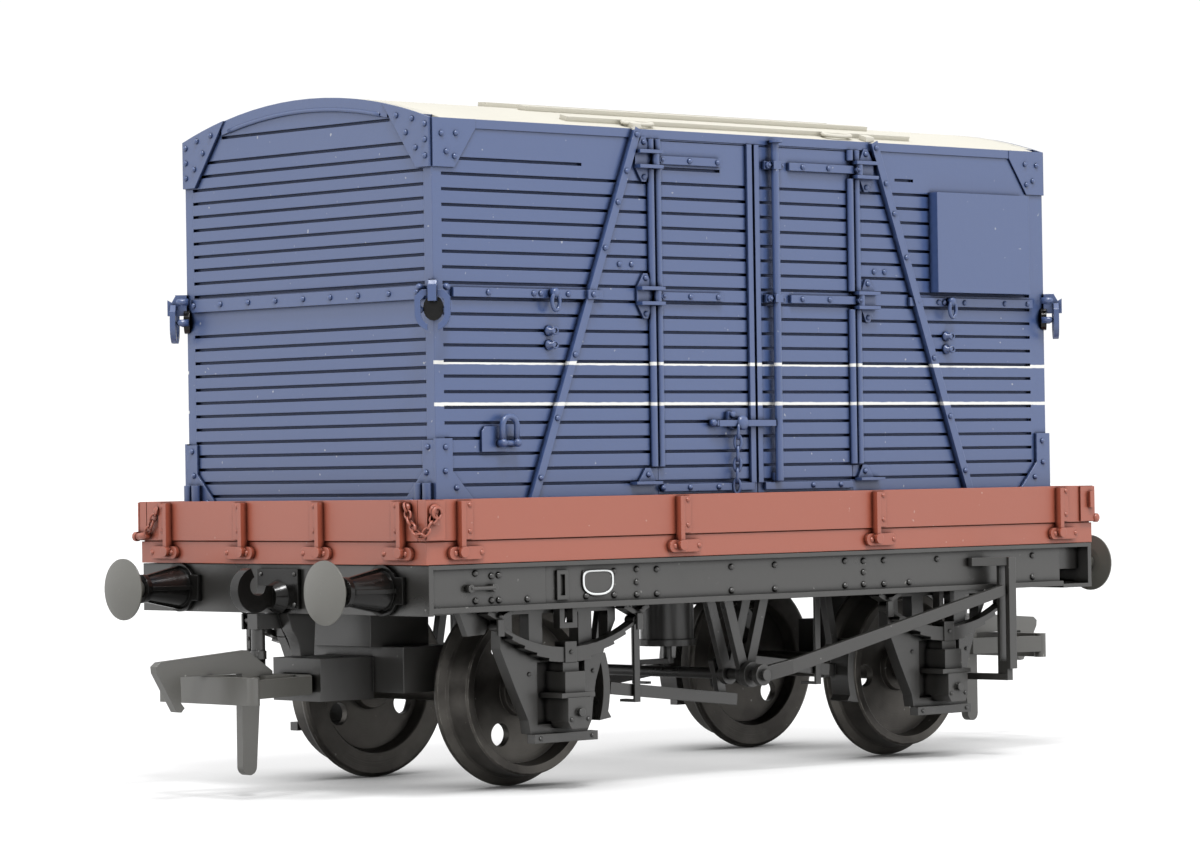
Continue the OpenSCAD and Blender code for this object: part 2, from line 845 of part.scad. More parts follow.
module buffer_housings() {
  color(BLACK)
    at_buffers() {
      linear_extrude(0.35) {
        circle(1.78);
        square([1.9, 4.6], center = true);
      }
      rotate_extrude()
        polygon([[0, 0.2], [1.45, 0.2], [0.85, shank_len], [1.05, shank_len],
          [1.05, shank_len + 0.4], [0, shank_len + 0.4]]);
      for (a = [0:90:270])
        rotate(a)
          rotate([90, 0, 0])
            translate([0, 0, -0.15])
              linear_extrude(0.3)
                polygon([[0.5, 0.2], [1.65, 0.2], [0.98, shank_len - 0.1],
                  [0.5, shank_len - 0.1]]);
    }
}

module buffer_heads() {
  ram = shank_len + 0.4;
  dome = 0.35;
  dome_r = (buffer_head_r * buffer_head_r + dome * dome) / (2 * dome);
  edge = buffer_len - dome - 0.3;
  color(STEEL)
    at_buffers() {
      translate([0, 0, ram]) cylinder(h = edge - ram, r = 0.6);
      rotate_extrude()
        polygon(concat([[0, edge], [1.2, edge], [buffer_head_r, edge + 0.2]],
          [for (i = [0:8])
            let (a = asin(buffer_head_r / dome_r) * (1 - i / 8))
              [dome_r * sin(a), buffer_len - dome_r + dome_r * cos(a)]]));
    }
}

// Drawhook, curling up and back, with its riveted plate
module drawhook() {
  y = 0.45;
  block([-frame_x - 0.3, -2.3, buffer_z - 1.4], [-frame_x, 2.3, buffer_z + 1.45]);
  upright(-y, 2 * y)
    difference() {
      union() {
        translate([-frame_x - 2.65, buffer_z]) circle(1.62);
        translate([-frame_x - 2.6, buffer_z - 1.3]) square([2.6, 1.5]);
      }
      translate([-frame_x - 2.45, buffer_z + 0.3]) circle(0.7);
      translate([-frame_x - 2.45, buffer_z + 0.3]) rotate(25) square([1.4, 4]);
      translate([-frame_x - 2.2, buffer_z + 0.3]) square([1.4, 4]);
    }
  translate([-frame_x - 0.3, 0, buffer_z - 0.55])
    rotate([0, -90, 0]) cylinder(h = 0.8, r1 = 1.25, r2 = 0.85);
}

module drawhooks() {
  color(BLACK) turned_pair() drawhook();
}

// Curved brake pipe below each headstock
module vacuum_pipe() {
  z = sole_z - 0.15;
  block([-frame_x - 1.9, 0.4, z - 1.1], [-frame_x + 1.2, 1.5, z]);
  translate([-frame_x - 1.4, 0.95, z - 3]) cylinder(h = 2.2, r = 0.5);
  translate([-frame_x - 1.4, 0.95, z - 3.25]) cylinder(h = 0.6, r = 0.6);
  upright(-0.7, 1.1)
    polygon(concat([[-frame_x + 2.6, z], [-frame_x, z]],
      arc([-frame_x - 1.6, z - 3.1], 2.75, 42, 0, 8), [[-frame_x + 2.4, z - 3.1]]));
}

module vacuum_pipes() {
  color(BLACK) turned_pair() vacuum_pipe();
}

// ---------------- brake gear ----------------
shaft_z = 7.35;
v_top = 2.35;

module v_hanger(y) {
  upright(y - 0.25, 0.5)
    difference() {
      union() {
        bar2d([-v_top, deck_z], [-0.15, shaft_z], 0.85);
        bar2d([v_top, deck_z], [0.15, shaft_z], 0.85);
        translate([0, shaft_z]) circle(0.8);
      }
      translate([0, shaft_z]) circle(0.42);
      translate([-4, deck_z]) square([8, 2]);
    }
}

module v_hangers() {
  color(BLACK)
    both_sides() {
      v_hanger(-12);
      v_hanger(-10.12);
    }
}

module brake_shaft() {
  half = 13.4;
  color(BLACK) {
    translate([0, half, shaft_z]) rotate([90, 0, 0]) cylinder(h = 2 * half, r = 0.42);
    // clutch bosses inside each lever, and the crossed rod arms
    both_sides()
      translate([0, -12.3, shaft_z]) rotate([90, 0, 0]) cylinder(h = 0.55, r = 0.95);
    turned_pair()
      upright(-9.25, 0.5) {
        bar2d([0, shaft_z], [0.35, shaft_z - 1.7], 0.8);
        bar2d([0, shaft_z], [-0.35, shaft_z + 1.1], 0.8);
      }
  }
}

// Brake block curved round the tread, with its hanger
shoe_gap = 0.45;
shoe_r = tread_r + shoe_gap;

module brake_shoe() {
  c = [0, axle_z];
  upright(-10.6, 1.9)
    polygon(concat(arc(c, shoe_r, -21, 22, 12), arc(c, shoe_r + 0.65, 20, -14, 12),
      [[shoe_r + 0.75, 4.7]]));
  upright(-9.25, 0.6) {
    bar2d([7.4, 9.1], [8.4, deck_z], 0.7);
    bar2d([6.95, 7.2], [8.7, 6.95], 0.9);
  }
}

module brake_shoes() {
  color(BLACK)
    both_ends()
      both_sides()
        translate([-axle_x, 0, 0]) brake_shoe();
}

// Flat pull rods from the shaft arms to the shoes, in their safety loops
module push_rod_set() {
  rod_w = 0.9;
  upright(-9.8, 0.55)
    bar2d([-11.8, 6.8], [1.3, 5.35], rod_w);
  upright(-9.8, 0.55)
    bar2d([11.4, 7.15], [-0.3, shaft_z + 1.2], rod_w);
  loop_strap(-9.3, 5.65);
  loop_strap(9.9, 6.1);
}

module loop_strap(x, z0) {
  loop_y = -9.0;
  block([x - 0.28, loop_y - 1.05, z0], [x + 0.28, loop_y - 0.85, deck_z]);
  block([x - 0.28, loop_y - 0.85, z0], [x + 0.28, loop_y + 0.6, z0 + 0.2]);
}

module push_rods() {
  color(BLACK) turned_pair() push_rod_set();
}

// Long hand lever, bent outwards from the shaft to its guard
lever_x1 = 22.9;
lever_y0 = -guard_y - 0.15;
lever_y1 = -frame_y - 0.95;

module brake_lever() {
  lever_t = 0.45;
  bend_x = 2.4;
  bend_y = lever_y0 - 0.75;
  intersection() {
    upright(-25, 20)
      union() {
        polygon([[0.2, shaft_z - 0.6], [2.4, 7.35], [lever_x1, 12.6], [lever_x1, 13.45],
          [0.2, shaft_z + 0.55]]);
        translate([0, shaft_z]) circle(0.8);
      }
    translate([0, 0, shaft_z - 3])
      linear_extrude(12)
        polygon([[-1, lever_y0], [0.9, lever_y0], [bend_x, bend_y], [lever_x1, lever_y1],
          [lever_x1, lever_y1 - lever_t], [bend_x, bend_y - lever_t],
          [0.7, lever_y0 - lever_t], [-1, lever_y0 - lever_t]]);
  }
  translate([0, lever_y0 - lever_t, shaft_z]) rotate([90, 0, 0]) cylinder(h = 0.35, r = 0.42);
}

module brake_levers() {
  color(BLACK) turned_pair() brake_lever();
}

// Upright slotted guide for the end of the lever, with its arm and its stay
module lever_guard() {
  x0 = 23.15;
  x1 = 23.95;
  y0 = -frame_y - 1.65;
  y1 = -frame_y - 0.35;
  top = sole_top - 0.85;
  foot = 6.9;
  difference() {
    block([x0, y0, foot], [x1, y1, top]);
    block([x0 - 1, y0 + 0.42, foot + 0.6], [x1 + 1, y1 - 0.3, top - 0.7]);
  }
  block([x0, y0 + 0.3, foot - 0.9], [x1 - 0.2, y1, foot]);
  // arm at the top, back to the solebar
  translate([0, 0, top - 0.65])
    linear_extrude(0.65)
      polygon([[20.6, -web_y], [20.6, -frame_y - 0.1], [x0, y0 + 0.25], [x1, y0 + 0.25],
        [x1, y1], [x0 + 0.1, y1], [22.4, -frame_y - 0.1], [22.4, -web_y]]);
  // stay at the foot, back to the axle guard
  translate([0, 0, foot - 0.9])
    linear_extrude(0.5)
      polygon([[axle_x + 2.9, -guard_y], [axle_x + 2.9, -guard_y - 1.6], [x0, y0 + 0.3],
        [x1 - 0.2, y0 + 0.3], [x1 - 0.2, y1], [axle_x + 3.4, -guard_y - 1.4],
        [axle_x + 3.4, -guard_y]]);
}

module lever_guards() {
  color(BLACK) turned_pair() lever_guard();
}

module vacuum_cylinder() {
  color(BLACK)
    translate([3.4, 0, 0]) {
      translate([0, 0, 9.5]) cylinder(h = deck_z - 9.5, r = 2.1);
      translate([0, 0, 9.15]) cylinder(h = 0.5, r = 2.25);
      translate([0, 0, 7.9]) cylinder(h = 1.3, r = 0.35);
      block([-3.2, -0.3, 7.75], [0.4, 0.3, 8.15]);
    }
}

// ---------------- couplings ----------------
mount_front = frame_x - 1.35;
pocket_w = 5.4;
pocket_z0 = coupling_z - 0.2;
pocket_z1 = coupling_z + 2.9;
stem_w = 3.0;
stem_z0 = coupling_z + 0.45;
stem_z1 = coupling_z + 1.75;
stem_back = mount_front - 3.6;

module coupling_mount() {
  color(BLACK) {
    block([-29.7, -3.75, pocket_z1 + 0.7], [-24.2, 3.75, deck_z]);
    block([-mount_front + 4.9, -6.1, pocket_z0 + 0.5], [-24.2, 6.1, pocket_z1 + 0.7]);
    difference() {
      block([-mount_front, -pocket_w / 2, pocket_z0],
        [-mount_front + 4.9, pocket_w / 2, pocket_z1]);
      block([-mount_front - 1, -stem_w / 2 - fit, stem_z0 - fit],
        [-stem_back + fit, stem_w / 2 + fit, stem_z1 + fit]);
    }
  }
}

module coupling_mounts() {
  turned_pair() coupling_mount();
}

// U-shaped coupling bar: broad front plate, two thin arms and a stem
module coupling_bar() {
  w = coupling_w / 2;
  front = -coupling_x;
  root = -mount_front - 0.9;
  color(STEEL) {
    difference() {
      union() {
        block([front, -w + 0.5, coupling_z], [front + 0.6, w - 0.5, coupling_z + coupling_h]);
        for (s = [-1, 1])
          translate([front + 0.5, s * (w - 0.5), coupling_z])
            cylinder(h = coupling_h, r = 0.5);
      }
      block([front + 0.6, -w + 0.8, coupling_z - 1], [front + 2, w - 0.8, coupling_z + 5]);
    }
    translate([0, 0, stem_z0])
      linear_extrude(stem_z1 - stem_z0) {
        for (s = [-1, 1])
          polygon([[front + 0.5, s * w], [front + 0.5, s * (w - 0.6)],
            [root - 1.2, s * (w - 2.4)], [root, s * 0.9], [root + 0.9, s * 0.9],
            [root + 0.9, s * 1.5], [root - 0.5, s * (w - 2)]]);
        translate([root + 0.2, -stem_w / 2]) square([-stem_back - root - 0.2, stem_w]);
      }
    // lugs and pin that carry the hook
    for (s = [-1, 1])
      upright(s > 0 ? hook_t / 2 + 0.1 : -hook_t / 2 - 0.7, 0.6)
        difference() {
          polygon([[root + 0.4, stem_z0], [-hook_x - 0.6, hook_z - 0.5],
            [-hook_x - 0.6, hook_z + 0.6], [-hook_x + 0.6, hook_z + 0.6],
            [root + 0.9, stem_z1]]);
        }
    translate([-hook_x, hook_t / 2 + 0.7, hook_z])
      rotate([90, 0, 0]) cylinder(h = hook_t + 1.4, r = hook_pin_r);
  }
}

module front_coupling_bar() {
  coupling_bar();
}

module rear_coupling_bar() {
  rotate(180) coupling_bar();
}

// Lift-up hook: sloping nose, beak, and a tail that hangs below the bar
module coupling_hook() {
  rest = coupling_z + coupling_h + fit;
  front = -coupling_x;
  tail_foot = 1.55;
  tail_r = 0.62;
  color(STEEL)
    upright(-hook_t / 2, hook_t)
      difference() {
          polygon(concat(arc([front + 3.8, tail_foot + tail_r], tail_r, 0, -180, 12),
            [[front + 3.8 - tail_r, rest], [front - 2.3, rest], [front - 2.25, 6.95], [front - 1.95, 6.6],
            [front - 2.25, 6.3], [front - 2.65, 6.35], [front - 4.35, 9.15],
            [front - 4.4, 9.6], [front - 4.0, 9.9], [front + 3.7, 10.45],
            [-hook_x + 0.65, hook_z + 0.9], [-hook_x + 0.65, hook_z - 0.5],
            [-hook_x - 0.5, hook_z - 0.7]]));
        translate([-hook_x, hook_z]) circle(hook_pin_r + fit);
      }
}

module front_coupling_hook() {
  coupling_hook();
}

module rear_coupling_hook() {
  rotate(180) coupling_hook();
}

// ---------------- wheels ----------------
// One wheel, its back on the plane y = 0, its front towards -Y
module wheel(turn) {
  rim_front = tread_r - 0.2;
  rim_in = 5.4;
  back_in = 5.05;
  disc_0 = 0.95;
  disc_1 = 1.55;
  hub_r = axle_r + 0.75;
  rotate([90, 0, 0])
    difference() {
      rotate_extrude($fn = 96)
        polygon([[axle_r, 0.3], [hub_r, 0.3], [hub_r + 0.1, disc_0], [back_in - 0.2, disc_0],
          [back_in, 0.1], [back_in + 0.1, 0], [flange_r - 0.3, 0], [flange_r - 0.08, 0.12],
          [flange_r, 0.35], [flange_r - 0.06, 0.55], [tread_r + 0.12, 0.85],
          [tread_r, 1.05], [rim_front, wheel_w - 0.12], [rim_front - 0.12, wheel_w],
          [rim_in, wheel_w], [rim_in - 0.15, disc_1], [hub_r + 0.1, disc_1],
          [hub_r, 2.0], [axle_r, 2.0]]);
      for (k = [0:2])
        rotate(turn + 120 * k)
          translate([disc_hole_ring, 0, 0]) cylinder(h = 3, r = disc_hole_r);
    }
}

module wheel_pair(near_turn, far_turn) {
  y = back_to_back / 2;
  color(STEEL) {
    translate([0, -y, axle_z]) wheel(near_turn);
    translate([0, y, axle_z]) rotate(180) wheel(-far_turn);
  }
}

module front_wheels() {
  translate([-axle_x, 0, 0]) wheel_pair(239, 35);
}

module rear_wheels() {
  translate([axle_x, 0, 0]) wheel_pair(188, 137);
}

module axle() {
  color(STEEL)
    translate([0, 0, axle_z])
      rotate([90, 0, 0])
        rotate_extrude()
          polygon([[0, -point_y], [point_r, -point_y], [axle_r, -cone_y],
            [axle_r, cone_y], [point_r, point_y], [0, point_y]]);
}

module front_axle() {
  translate([-axle_x, 0, 0]) axle();
}

module rear_axle() {
  translate([axle_x, 0, 0]) axle();
}

container_floor();
container_left_side();
container_right_side();
container_front_end();
container_rear_end();
container_roof();
left_side_doors();
right_side_doors();
side_straps();
door_hinges();
door_bars();
end_irons();
label_boards();
lifting_rings();
roof_fittings();
wagon_floor();
curb_rails();
left_side_plank();
right_side_plank();
front_end_plank();
rear_end_plank();
side_hinge_straps();
end_hinge_straps();
corner_plates();
chassis_plate();
front_headstock();
rear_headstock();
left_solebar();
right_solebar();
solebar_fittings();
axle_guards();
leaf_springs();
spring_hangers();
axleboxes();
buffer_housings();
buffer_heads();
drawhooks();
vacuum_pipes();
v_hangers();
brake_shaft();
brake_shoes();
push_rods();
brake_levers();
lever_guards();
vacuum_cylinder();
coupling_mounts();
front_coupling_bar();
rear_coupling_bar();
front_coupling_hook();
rear_coupling_hook();
front_wheels();
rear_wheels();
front_axle();
rear_axle();
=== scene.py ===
"""Finishes a small-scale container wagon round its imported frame: paint, rivets, chains and light."""

import json
import math

import bmesh
import bpy
from mathutils import Matrix, Vector


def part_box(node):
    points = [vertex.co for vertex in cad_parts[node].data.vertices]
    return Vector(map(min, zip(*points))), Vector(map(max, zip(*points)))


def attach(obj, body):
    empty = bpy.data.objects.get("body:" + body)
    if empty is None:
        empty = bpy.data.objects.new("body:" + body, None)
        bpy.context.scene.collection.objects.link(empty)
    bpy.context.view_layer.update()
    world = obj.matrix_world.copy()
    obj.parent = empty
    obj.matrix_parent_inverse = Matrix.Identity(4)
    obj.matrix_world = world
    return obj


MM = 0.001
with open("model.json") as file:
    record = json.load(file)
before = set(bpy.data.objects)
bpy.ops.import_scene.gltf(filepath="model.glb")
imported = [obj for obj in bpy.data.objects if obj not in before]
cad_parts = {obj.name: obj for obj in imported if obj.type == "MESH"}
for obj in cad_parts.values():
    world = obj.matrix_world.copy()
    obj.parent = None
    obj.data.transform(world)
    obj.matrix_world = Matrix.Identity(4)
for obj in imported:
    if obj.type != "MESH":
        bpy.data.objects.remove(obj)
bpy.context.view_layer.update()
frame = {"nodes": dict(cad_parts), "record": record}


def v(x, y, z):
    """A place given in millimetres."""
    return Vector((x, y, z)) * MM


# ---------------------------------------------------------------- camera and light
AIM = v(-3.383, 0.002, 25.871)
AZIMUTH, ELEVATION, ROLL = math.radians(-42.867), math.radians(-0.475), math.radians(-0.872)
DISTANCE = 329.37 * MM
LENS = 128.66
ROOM_LIGHT, BOX_LIGHT, CEILING_LIGHT = 0.62, 1.35, 1.3
BOX_DIRECTION = (0.69, -0.72, 0)
SUN_AZIMUTH, SUN_ELEVATION, SUN_STRENGTH, SUN_SPREAD = -30, 62, 2.35, 14
BACKDROP_LIGHT = 1.05
FLOOR_GLOW, FLOOR_SEEN, FLOOR_FELT = 0.6, (0.36, 0.36, 0.362, 1), (0.58, 0.58, 0.58, 1)


def make_camera():
    back = Vector(
        (
            math.sin(AZIMUTH) * math.cos(ELEVATION),
            -math.cos(AZIMUTH) * math.cos(ELEVATION),
            math.sin(ELEVATION),
        )
    )
    right = (-back).cross(Vector((0, 0, 1))).normalized()
    up = right.cross(-back).normalized()
    tilted_right = math.cos(ROLL) * right + math.sin(ROLL) * up
    tilted_up = -math.sin(ROLL) * right + math.cos(ROLL) * up
    data = bpy.data.cameras.new("camera")
    data.lens, data.sensor_width = LENS, 36
    data.clip_start, data.clip_end = 0.01, 20
    camera = bpy.data.objects.new("camera", data)
    bpy.context.collection.objects.link(camera)
    turn = Matrix((tilted_right, tilted_up, back)).transposed().to_4x4()
    camera.matrix_world = Matrix.Translation(AIM + back * DISTANCE) @ turn
    bpy.context.scene.camera = camera


def soft_sun(name, azimuth, elevation, strength, spread):
    data = bpy.data.lights.new(name, "SUN")
    data.energy, data.angle = strength, math.radians(spread)
    lamp = bpy.data.objects.new(name, data)
    bpy.context.collection.objects.link(lamp)
    a, e = math.radians(azimuth), math.radians(elevation)
    toward = Vector((math.sin(a) * math.cos(e), -math.cos(a) * math.cos(e), math.sin(e)))
    lamp.rotation_euler = toward.to_track_quat("Z", "Y").to_euler()


def make_light():
    world = bpy.data.worlds.new("studio")
    bpy.context.scene.world = world
    world.use_nodes = True
    tree = world.node_tree
    tree.nodes.clear()
    out = tree.nodes.new("ShaderNodeOutputWorld")
    room = tree.nodes.new("ShaderNodeBackground")
    room.inputs["Color"].default_value = (1, 1, 1, 1)
    # a soft box off either quarter and a ceiling of light, with a dimmer room between them
    way = node(tree, "ShaderNodeTexCoord").outputs["Generated"]
    across = dot(tree, way, BOX_DIRECTION)
    boxes = remap(tree, maths(tree, "ABSOLUTE", across), 0.35, 0.85, ROOM_LIGHT, BOX_LIGHT)
    height = node(tree, "ShaderNodeSeparateXYZ", {0: way}).outputs[2]
    tree.links.new(maths(tree, "MAXIMUM", boxes, remap(tree, height, 0.45, 0.8, 0.0, CEILING_LIGHT)),
                   room.inputs["Strength"])
    backdrop = tree.nodes.new("ShaderNodeBackground")
    backdrop.inputs["Color"].default_value = (1, 1, 1, 1)
    backdrop.inputs["Strength"].default_value = BACKDROP_LIGHT
    pick = tree.nodes.new("ShaderNodeMixShader")
    path = tree.nodes.new("ShaderNodeLightPath")
    tree.links.new(path.outputs["Is Camera Ray"], pick.inputs["Fac"])
    tree.links.new(room.outputs[0], pick.inputs[1])
    tree.links.new(backdrop.outputs[0], pick.inputs[2])
    tree.links.new(pick.outputs[0], out.inputs["Surface"])
    soft_sun("overhead", SUN_AZIMUTH, SUN_ELEVATION, SUN_STRENGTH, SUN_SPREAD)
    bpy.context.scene.view_settings.view_transform = "Standard"


def make_floor():
    mesh = bpy.data.meshes.new("floor")
    far = 3.0
    mesh.from_pydata([(-far, -far, 0), (far, -far, 0), (far, far, 0), (-far, far, 0)], [], [(0, 1, 2, 3)])
    floor = bpy.data.objects.new("floor", mesh)
    bpy.context.collection.objects.link(floor)
    material = bpy.data.materials.new("pale_floor")
    material.use_nodes = True
    tree = material.node_tree
    shader = tree.nodes["Principled BSDF"]
    # the sheet under the model glows to the eye, as an overlit paper does, but lights the model less
    seen = node(tree, "ShaderNodeLightPath").outputs["Is Camera Ray"]
    # painted shadow: the floor's glow is dimmed where occlusion is high, under and beside the model
    shade = node(tree, "ShaderNodeAmbientOcclusion", {"Distance": 9 * MM}, samples=8).outputs["AO"]
    glow = maths(tree, "MULTIPLY", maths(tree, "MULTIPLY", seen, remap(tree, shade, 0.3, 0.97)), FLOOR_GLOW)
    tree.links.new(mixed(tree, seen, FLOOR_FELT, FLOOR_SEEN), shader.inputs["Base Color"])
    tree.links.new(glow, shader.inputs["Emission Strength"])
    shader.inputs["Emission Color"].default_value = (1, 1, 1, 1)
    shader.inputs["Roughness"].default_value = 0.9
    shader.inputs["Specular IOR Level"].default_value = 0.1
    mesh.materials.append(material)


# ---------------------------------------------------------------- shared shader groups
def new_group(name, ins, outs):
    """A shader group with named inputs and outputs, its nodes and a linking helper."""
    group = bpy.data.node_groups.new(name, "ShaderNodeTree")
    for label, kind, value in ins:
        socket = group.interface.new_socket(name=label, in_out="INPUT", socket_type=kind)
        socket.default_value = value
    for label, kind in outs:
        group.interface.new_socket(name=label, in_out="OUTPUT", socket_type=kind)
    entry = group.nodes.new("NodeGroupInput")
    leave = group.nodes.new("NodeGroupOutput")
    return group, entry.outputs, leave.inputs


def node(tree, kind, links=(), **values):
    """A node with its sockets set or linked, keyed by socket name or number."""
    made = tree.nodes.new(kind)
    for key, value in values.items():
        setattr(made, key, value)
    for key, value in dict(links).items():
        if isinstance(value, bpy.types.NodeSocket):
            tree.links.new(value, made.inputs[key])
        else:
            made.inputs[key].default_value = value
    return made


def maths(tree, operation, *values, clamp=False):
    made = node(tree, "ShaderNodeMath", dict(enumerate(values)), operation=operation, use_clamp=clamp)
    return made.outputs[0]


def dot(tree, a, b):
    return node(tree, "ShaderNodeVectorMath", {0: a, 1: b}, operation="DOT_PRODUCT").outputs["Value"]


def noise(tree, place, scale, detail):
    return node(tree, "ShaderNodeTexNoise", {"Vector": place, "Scale": scale, "Detail": detail}).outputs[0]


def mixed(tree, amount, a, b, blend="MIX"):
    """Colour a where amount is 0 and b where it is 1."""
    made = node(tree, "ShaderNodeMix", {0: amount, 6: a, 7: b}, data_type="RGBA", blend_type=blend)
    return made.outputs[2]


def remap(tree, value, low, high, to_low=0.0, to_high=1.0):
    made = node(tree, "ShaderNodeMapRange", {0: value, 1: low, 2: high, 3: to_low, 4: to_high})
    return made.outputs[0]


COLOUR, NUMBER, VECTOR = "NodeSocketColor", "NodeSocketFloat", "NodeSocketVector"
GRAIN_DEPTH = 0.04 * MM
RING_DEPTH = 0.03 * MM


def mottle_group():
    """Slow mottling, fine flecks of dust and an uneven gloss."""
    group, i, o = new_group(
        "mottle",
        [
            ("Colour", COLOUR, (0.5, 0.5, 0.5, 1)),
            ("Pale", COLOUR, (0.7, 0.7, 0.7, 1)),
            ("Patch Scale", NUMBER, 90.0),
            ("Patch Amount", NUMBER, 0.2),
            ("Fleck Scale", NUMBER, 2100.0),
            ("Fleck Amount", NUMBER, 0.5),
            ("Roughness", NUMBER, 0.5),
            ("Roughness Spread", NUMBER, 0.1),
        ],
        [("Colour", COLOUR), ("Roughness", NUMBER)],
    )
    place = node(group, "ShaderNodeTexCoord").outputs["Object"]
    patch = remap(group, noise(group, place, i["Patch Scale"], 4.0), 0.35, 0.7)
    fleck = remap(group, noise(group, place, i["Fleck Scale"], 1.0), 0.775, 0.82)
    colour = mixed(group, maths(group, "MULTIPLY", patch, i["Patch Amount"]), i["Colour"], i["Pale"])
    colour = mixed(group, maths(group, "MULTIPLY", fleck, i["Fleck Amount"]), colour, (0.75, 0.74, 0.7, 1))
    spread = maths(group, "MULTIPLY", maths(group, "SUBTRACT", patch, 0.5), i["Roughness Spread"])
    rough = maths(group, "ADD", i["Roughness"], spread, clamp=True)
    group.links.new(colour, o["Colour"])
    group.links.new(rough, o["Roughness"])
    return group


def edge_group():
    """A mask of sharp outer edges, found by rounding them off."""
    group, i, o = new_group(
        "worn_and_highlit_edges",
        [("Radius", NUMBER, 0.0001), ("Reach", NUMBER, 0.25), ("Breakup Scale", NUMBER, 900.0)],
        [("Mask", NUMBER), ("Normal", VECTOR)],
    )
    round_off = node(group, "ShaderNodeBevel", {"Radius": i["Radius"]}, samples=6).outputs[0]
    flat = node(group, "ShaderNodeNewGeometry").outputs["Normal"]
    edge = remap(group, maths(group, "SUBTRACT", 1.0, dot(group, round_off, flat)), 0.0, i["Reach"])
    place = node(group, "ShaderNodeTexCoord").outputs["Object"]
    broken = noise(group, place, i["Breakup Scale"], 2.0)
    mask = maths(group, "MULTIPLY", edge, remap(group, broken, 0.4, 0.6), clamp=True)
    group.links.new(mask, o["Mask"])
    group.links.new(round_off, o["Normal"])
    return group


def crevice_group():
    """How shut in a point is, from 0 in the open to 1 in a groove; the materials use it to paint shade."""
    group, i, o = new_group(
        "crevices",
        [("Distance", NUMBER, 0.0005), ("Low", NUMBER, 0.45), ("High", NUMBER, 0.88)],
        [("Mask", NUMBER)],
    )
    open_sky = node(group, "ShaderNodeAmbientOcclusion", {"Distance": i["Distance"]}, samples=6).outputs["AO"]
    mask = remap(group, open_sky, i["High"], i["Low"])
    group.links.new(mask, o["Mask"])
    return group


def grain_group():
    """The fine orange-peel of sprayed or moulded plastic, as a bump on a given normal."""
    group, i, o = new_group(
        "moulded_grain",
        [("Scale", NUMBER, 1200.0), ("Depth", NUMBER, 0.15), ("Normal", VECTOR, (0, 0, 1))],
        [("Normal", VECTOR)],
    )
    place = node(group, "ShaderNodeTexCoord").outputs["Object"]
    fine = noise(group, place, i["Scale"], 3.0)
    bump = node(group, "ShaderNodeBump", {"Strength": i["Depth"], "Distance": GRAIN_DEPTH, "Height": fine,
                                          "Normal": i["Normal"]}).outputs[0]
    group.links.new(bump, o["Normal"])
    return group


GROUPS = {}


def use_group(tree, name, **links):
    made = tree.nodes.new("ShaderNodeGroup")
    made.node_tree = GROUPS[name]
    for key, value in links.items():
        key = key.replace("_", " ")
        if isinstance(value, bpy.types.NodeSocket):
            tree.links.new(value, made.inputs[key])
        else:
            made.inputs[key].default_value = value
    return made.outputs


# ---------------------------------------------------------------- materials
def linear(*shade):
    """An sRGB colour out of 255 as the linear colour that shaders take."""
    out = []
    for c in shade:
        c = c / 255
        out.append(c / 12.92 if c <= 0.04045 else ((c + 0.055) / 1.055) ** 2.4)
    return (*out, 1)


def plastic(name, shade, pale, crevice_shade, rough, specular, patch=0.25, flecks=0.4, edge_highlight=None, edge=0.07,
            grain=0.25, crevice=0.6, paint=None, spread=0.12, matt_grooves=1.0):
    """Moulded plastic, sprayed or self-coloured: mottled, with painted shade in its grooves and a painted
    highlight on its edges.
    """
    material = bpy.data.materials.new(name)
    material.use_nodes = True
    tree = material.node_tree
    shader = tree.nodes["Principled BSDF"]
    body = use_group(tree, "mottle", Colour=shade, Pale=pale, Patch_Amount=patch, Fleck_Amount=flecks,
                     Roughness=rough, Roughness_Spread=spread)
    colour = body["Colour"]
    if paint:
        colour = paint(tree, colour)
    # painted shade: the colour is darkened in grooves and crevices, where occlusion is high
    shut = maths(tree, "MULTIPLY", use_group(tree, "crevices")["Mask"], crevice)
    colour = mixed(tree, shut, colour, crevice_shade)
    # painted highlight: sharp outer edges are lightened towards a paler colour
    edges = use_group(tree, "worn_and_highlit_edges", Radius=edge * MM)
    colour = mixed(tree, maths(tree, "MULTIPLY", edges["Mask"], 0.5), colour, edge_highlight or pale)
    normal = use_group(tree, "moulded_grain", Depth=grain, Normal=edges["Normal"])["Normal"]
    tree.links.new(colour, shader.inputs["Base Color"])
    tree.links.new(body["Roughness"], shader.inputs["Roughness"])
    tree.links.new(normal, shader.inputs["Normal"])
    if matt_grooves:  # painted shade: a darkened groove also loses its sheen, which a metal of its dark colour gives
        tree.links.new(maths(tree, "MULTIPLY", shut, matt_grooves, clamp=True), shader.inputs["Metallic"])
    shader.inputs["Specular IOR Level"].default_value = specular
    return material


ROOF_PAINT = linear(194, 191, 180)
ROOF_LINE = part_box("container_right_side")[1].z - 0.1 * MM
ROOF_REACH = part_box("container_right_side")[1].x + 0.02 * MM
STRIPE_PAINT = linear(226, 226, 222)
STRIPE_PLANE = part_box("container_left_side")[1].y - 0.1 * MM
STRIPE_BLUR, STRIPE_WOBBLE = 0.02, 0.09
STRIPE_HEIGHTS = (30.6, 27.66)
STRIPE_WIDTH = 0.25
STRIPE_REACH = 32.2


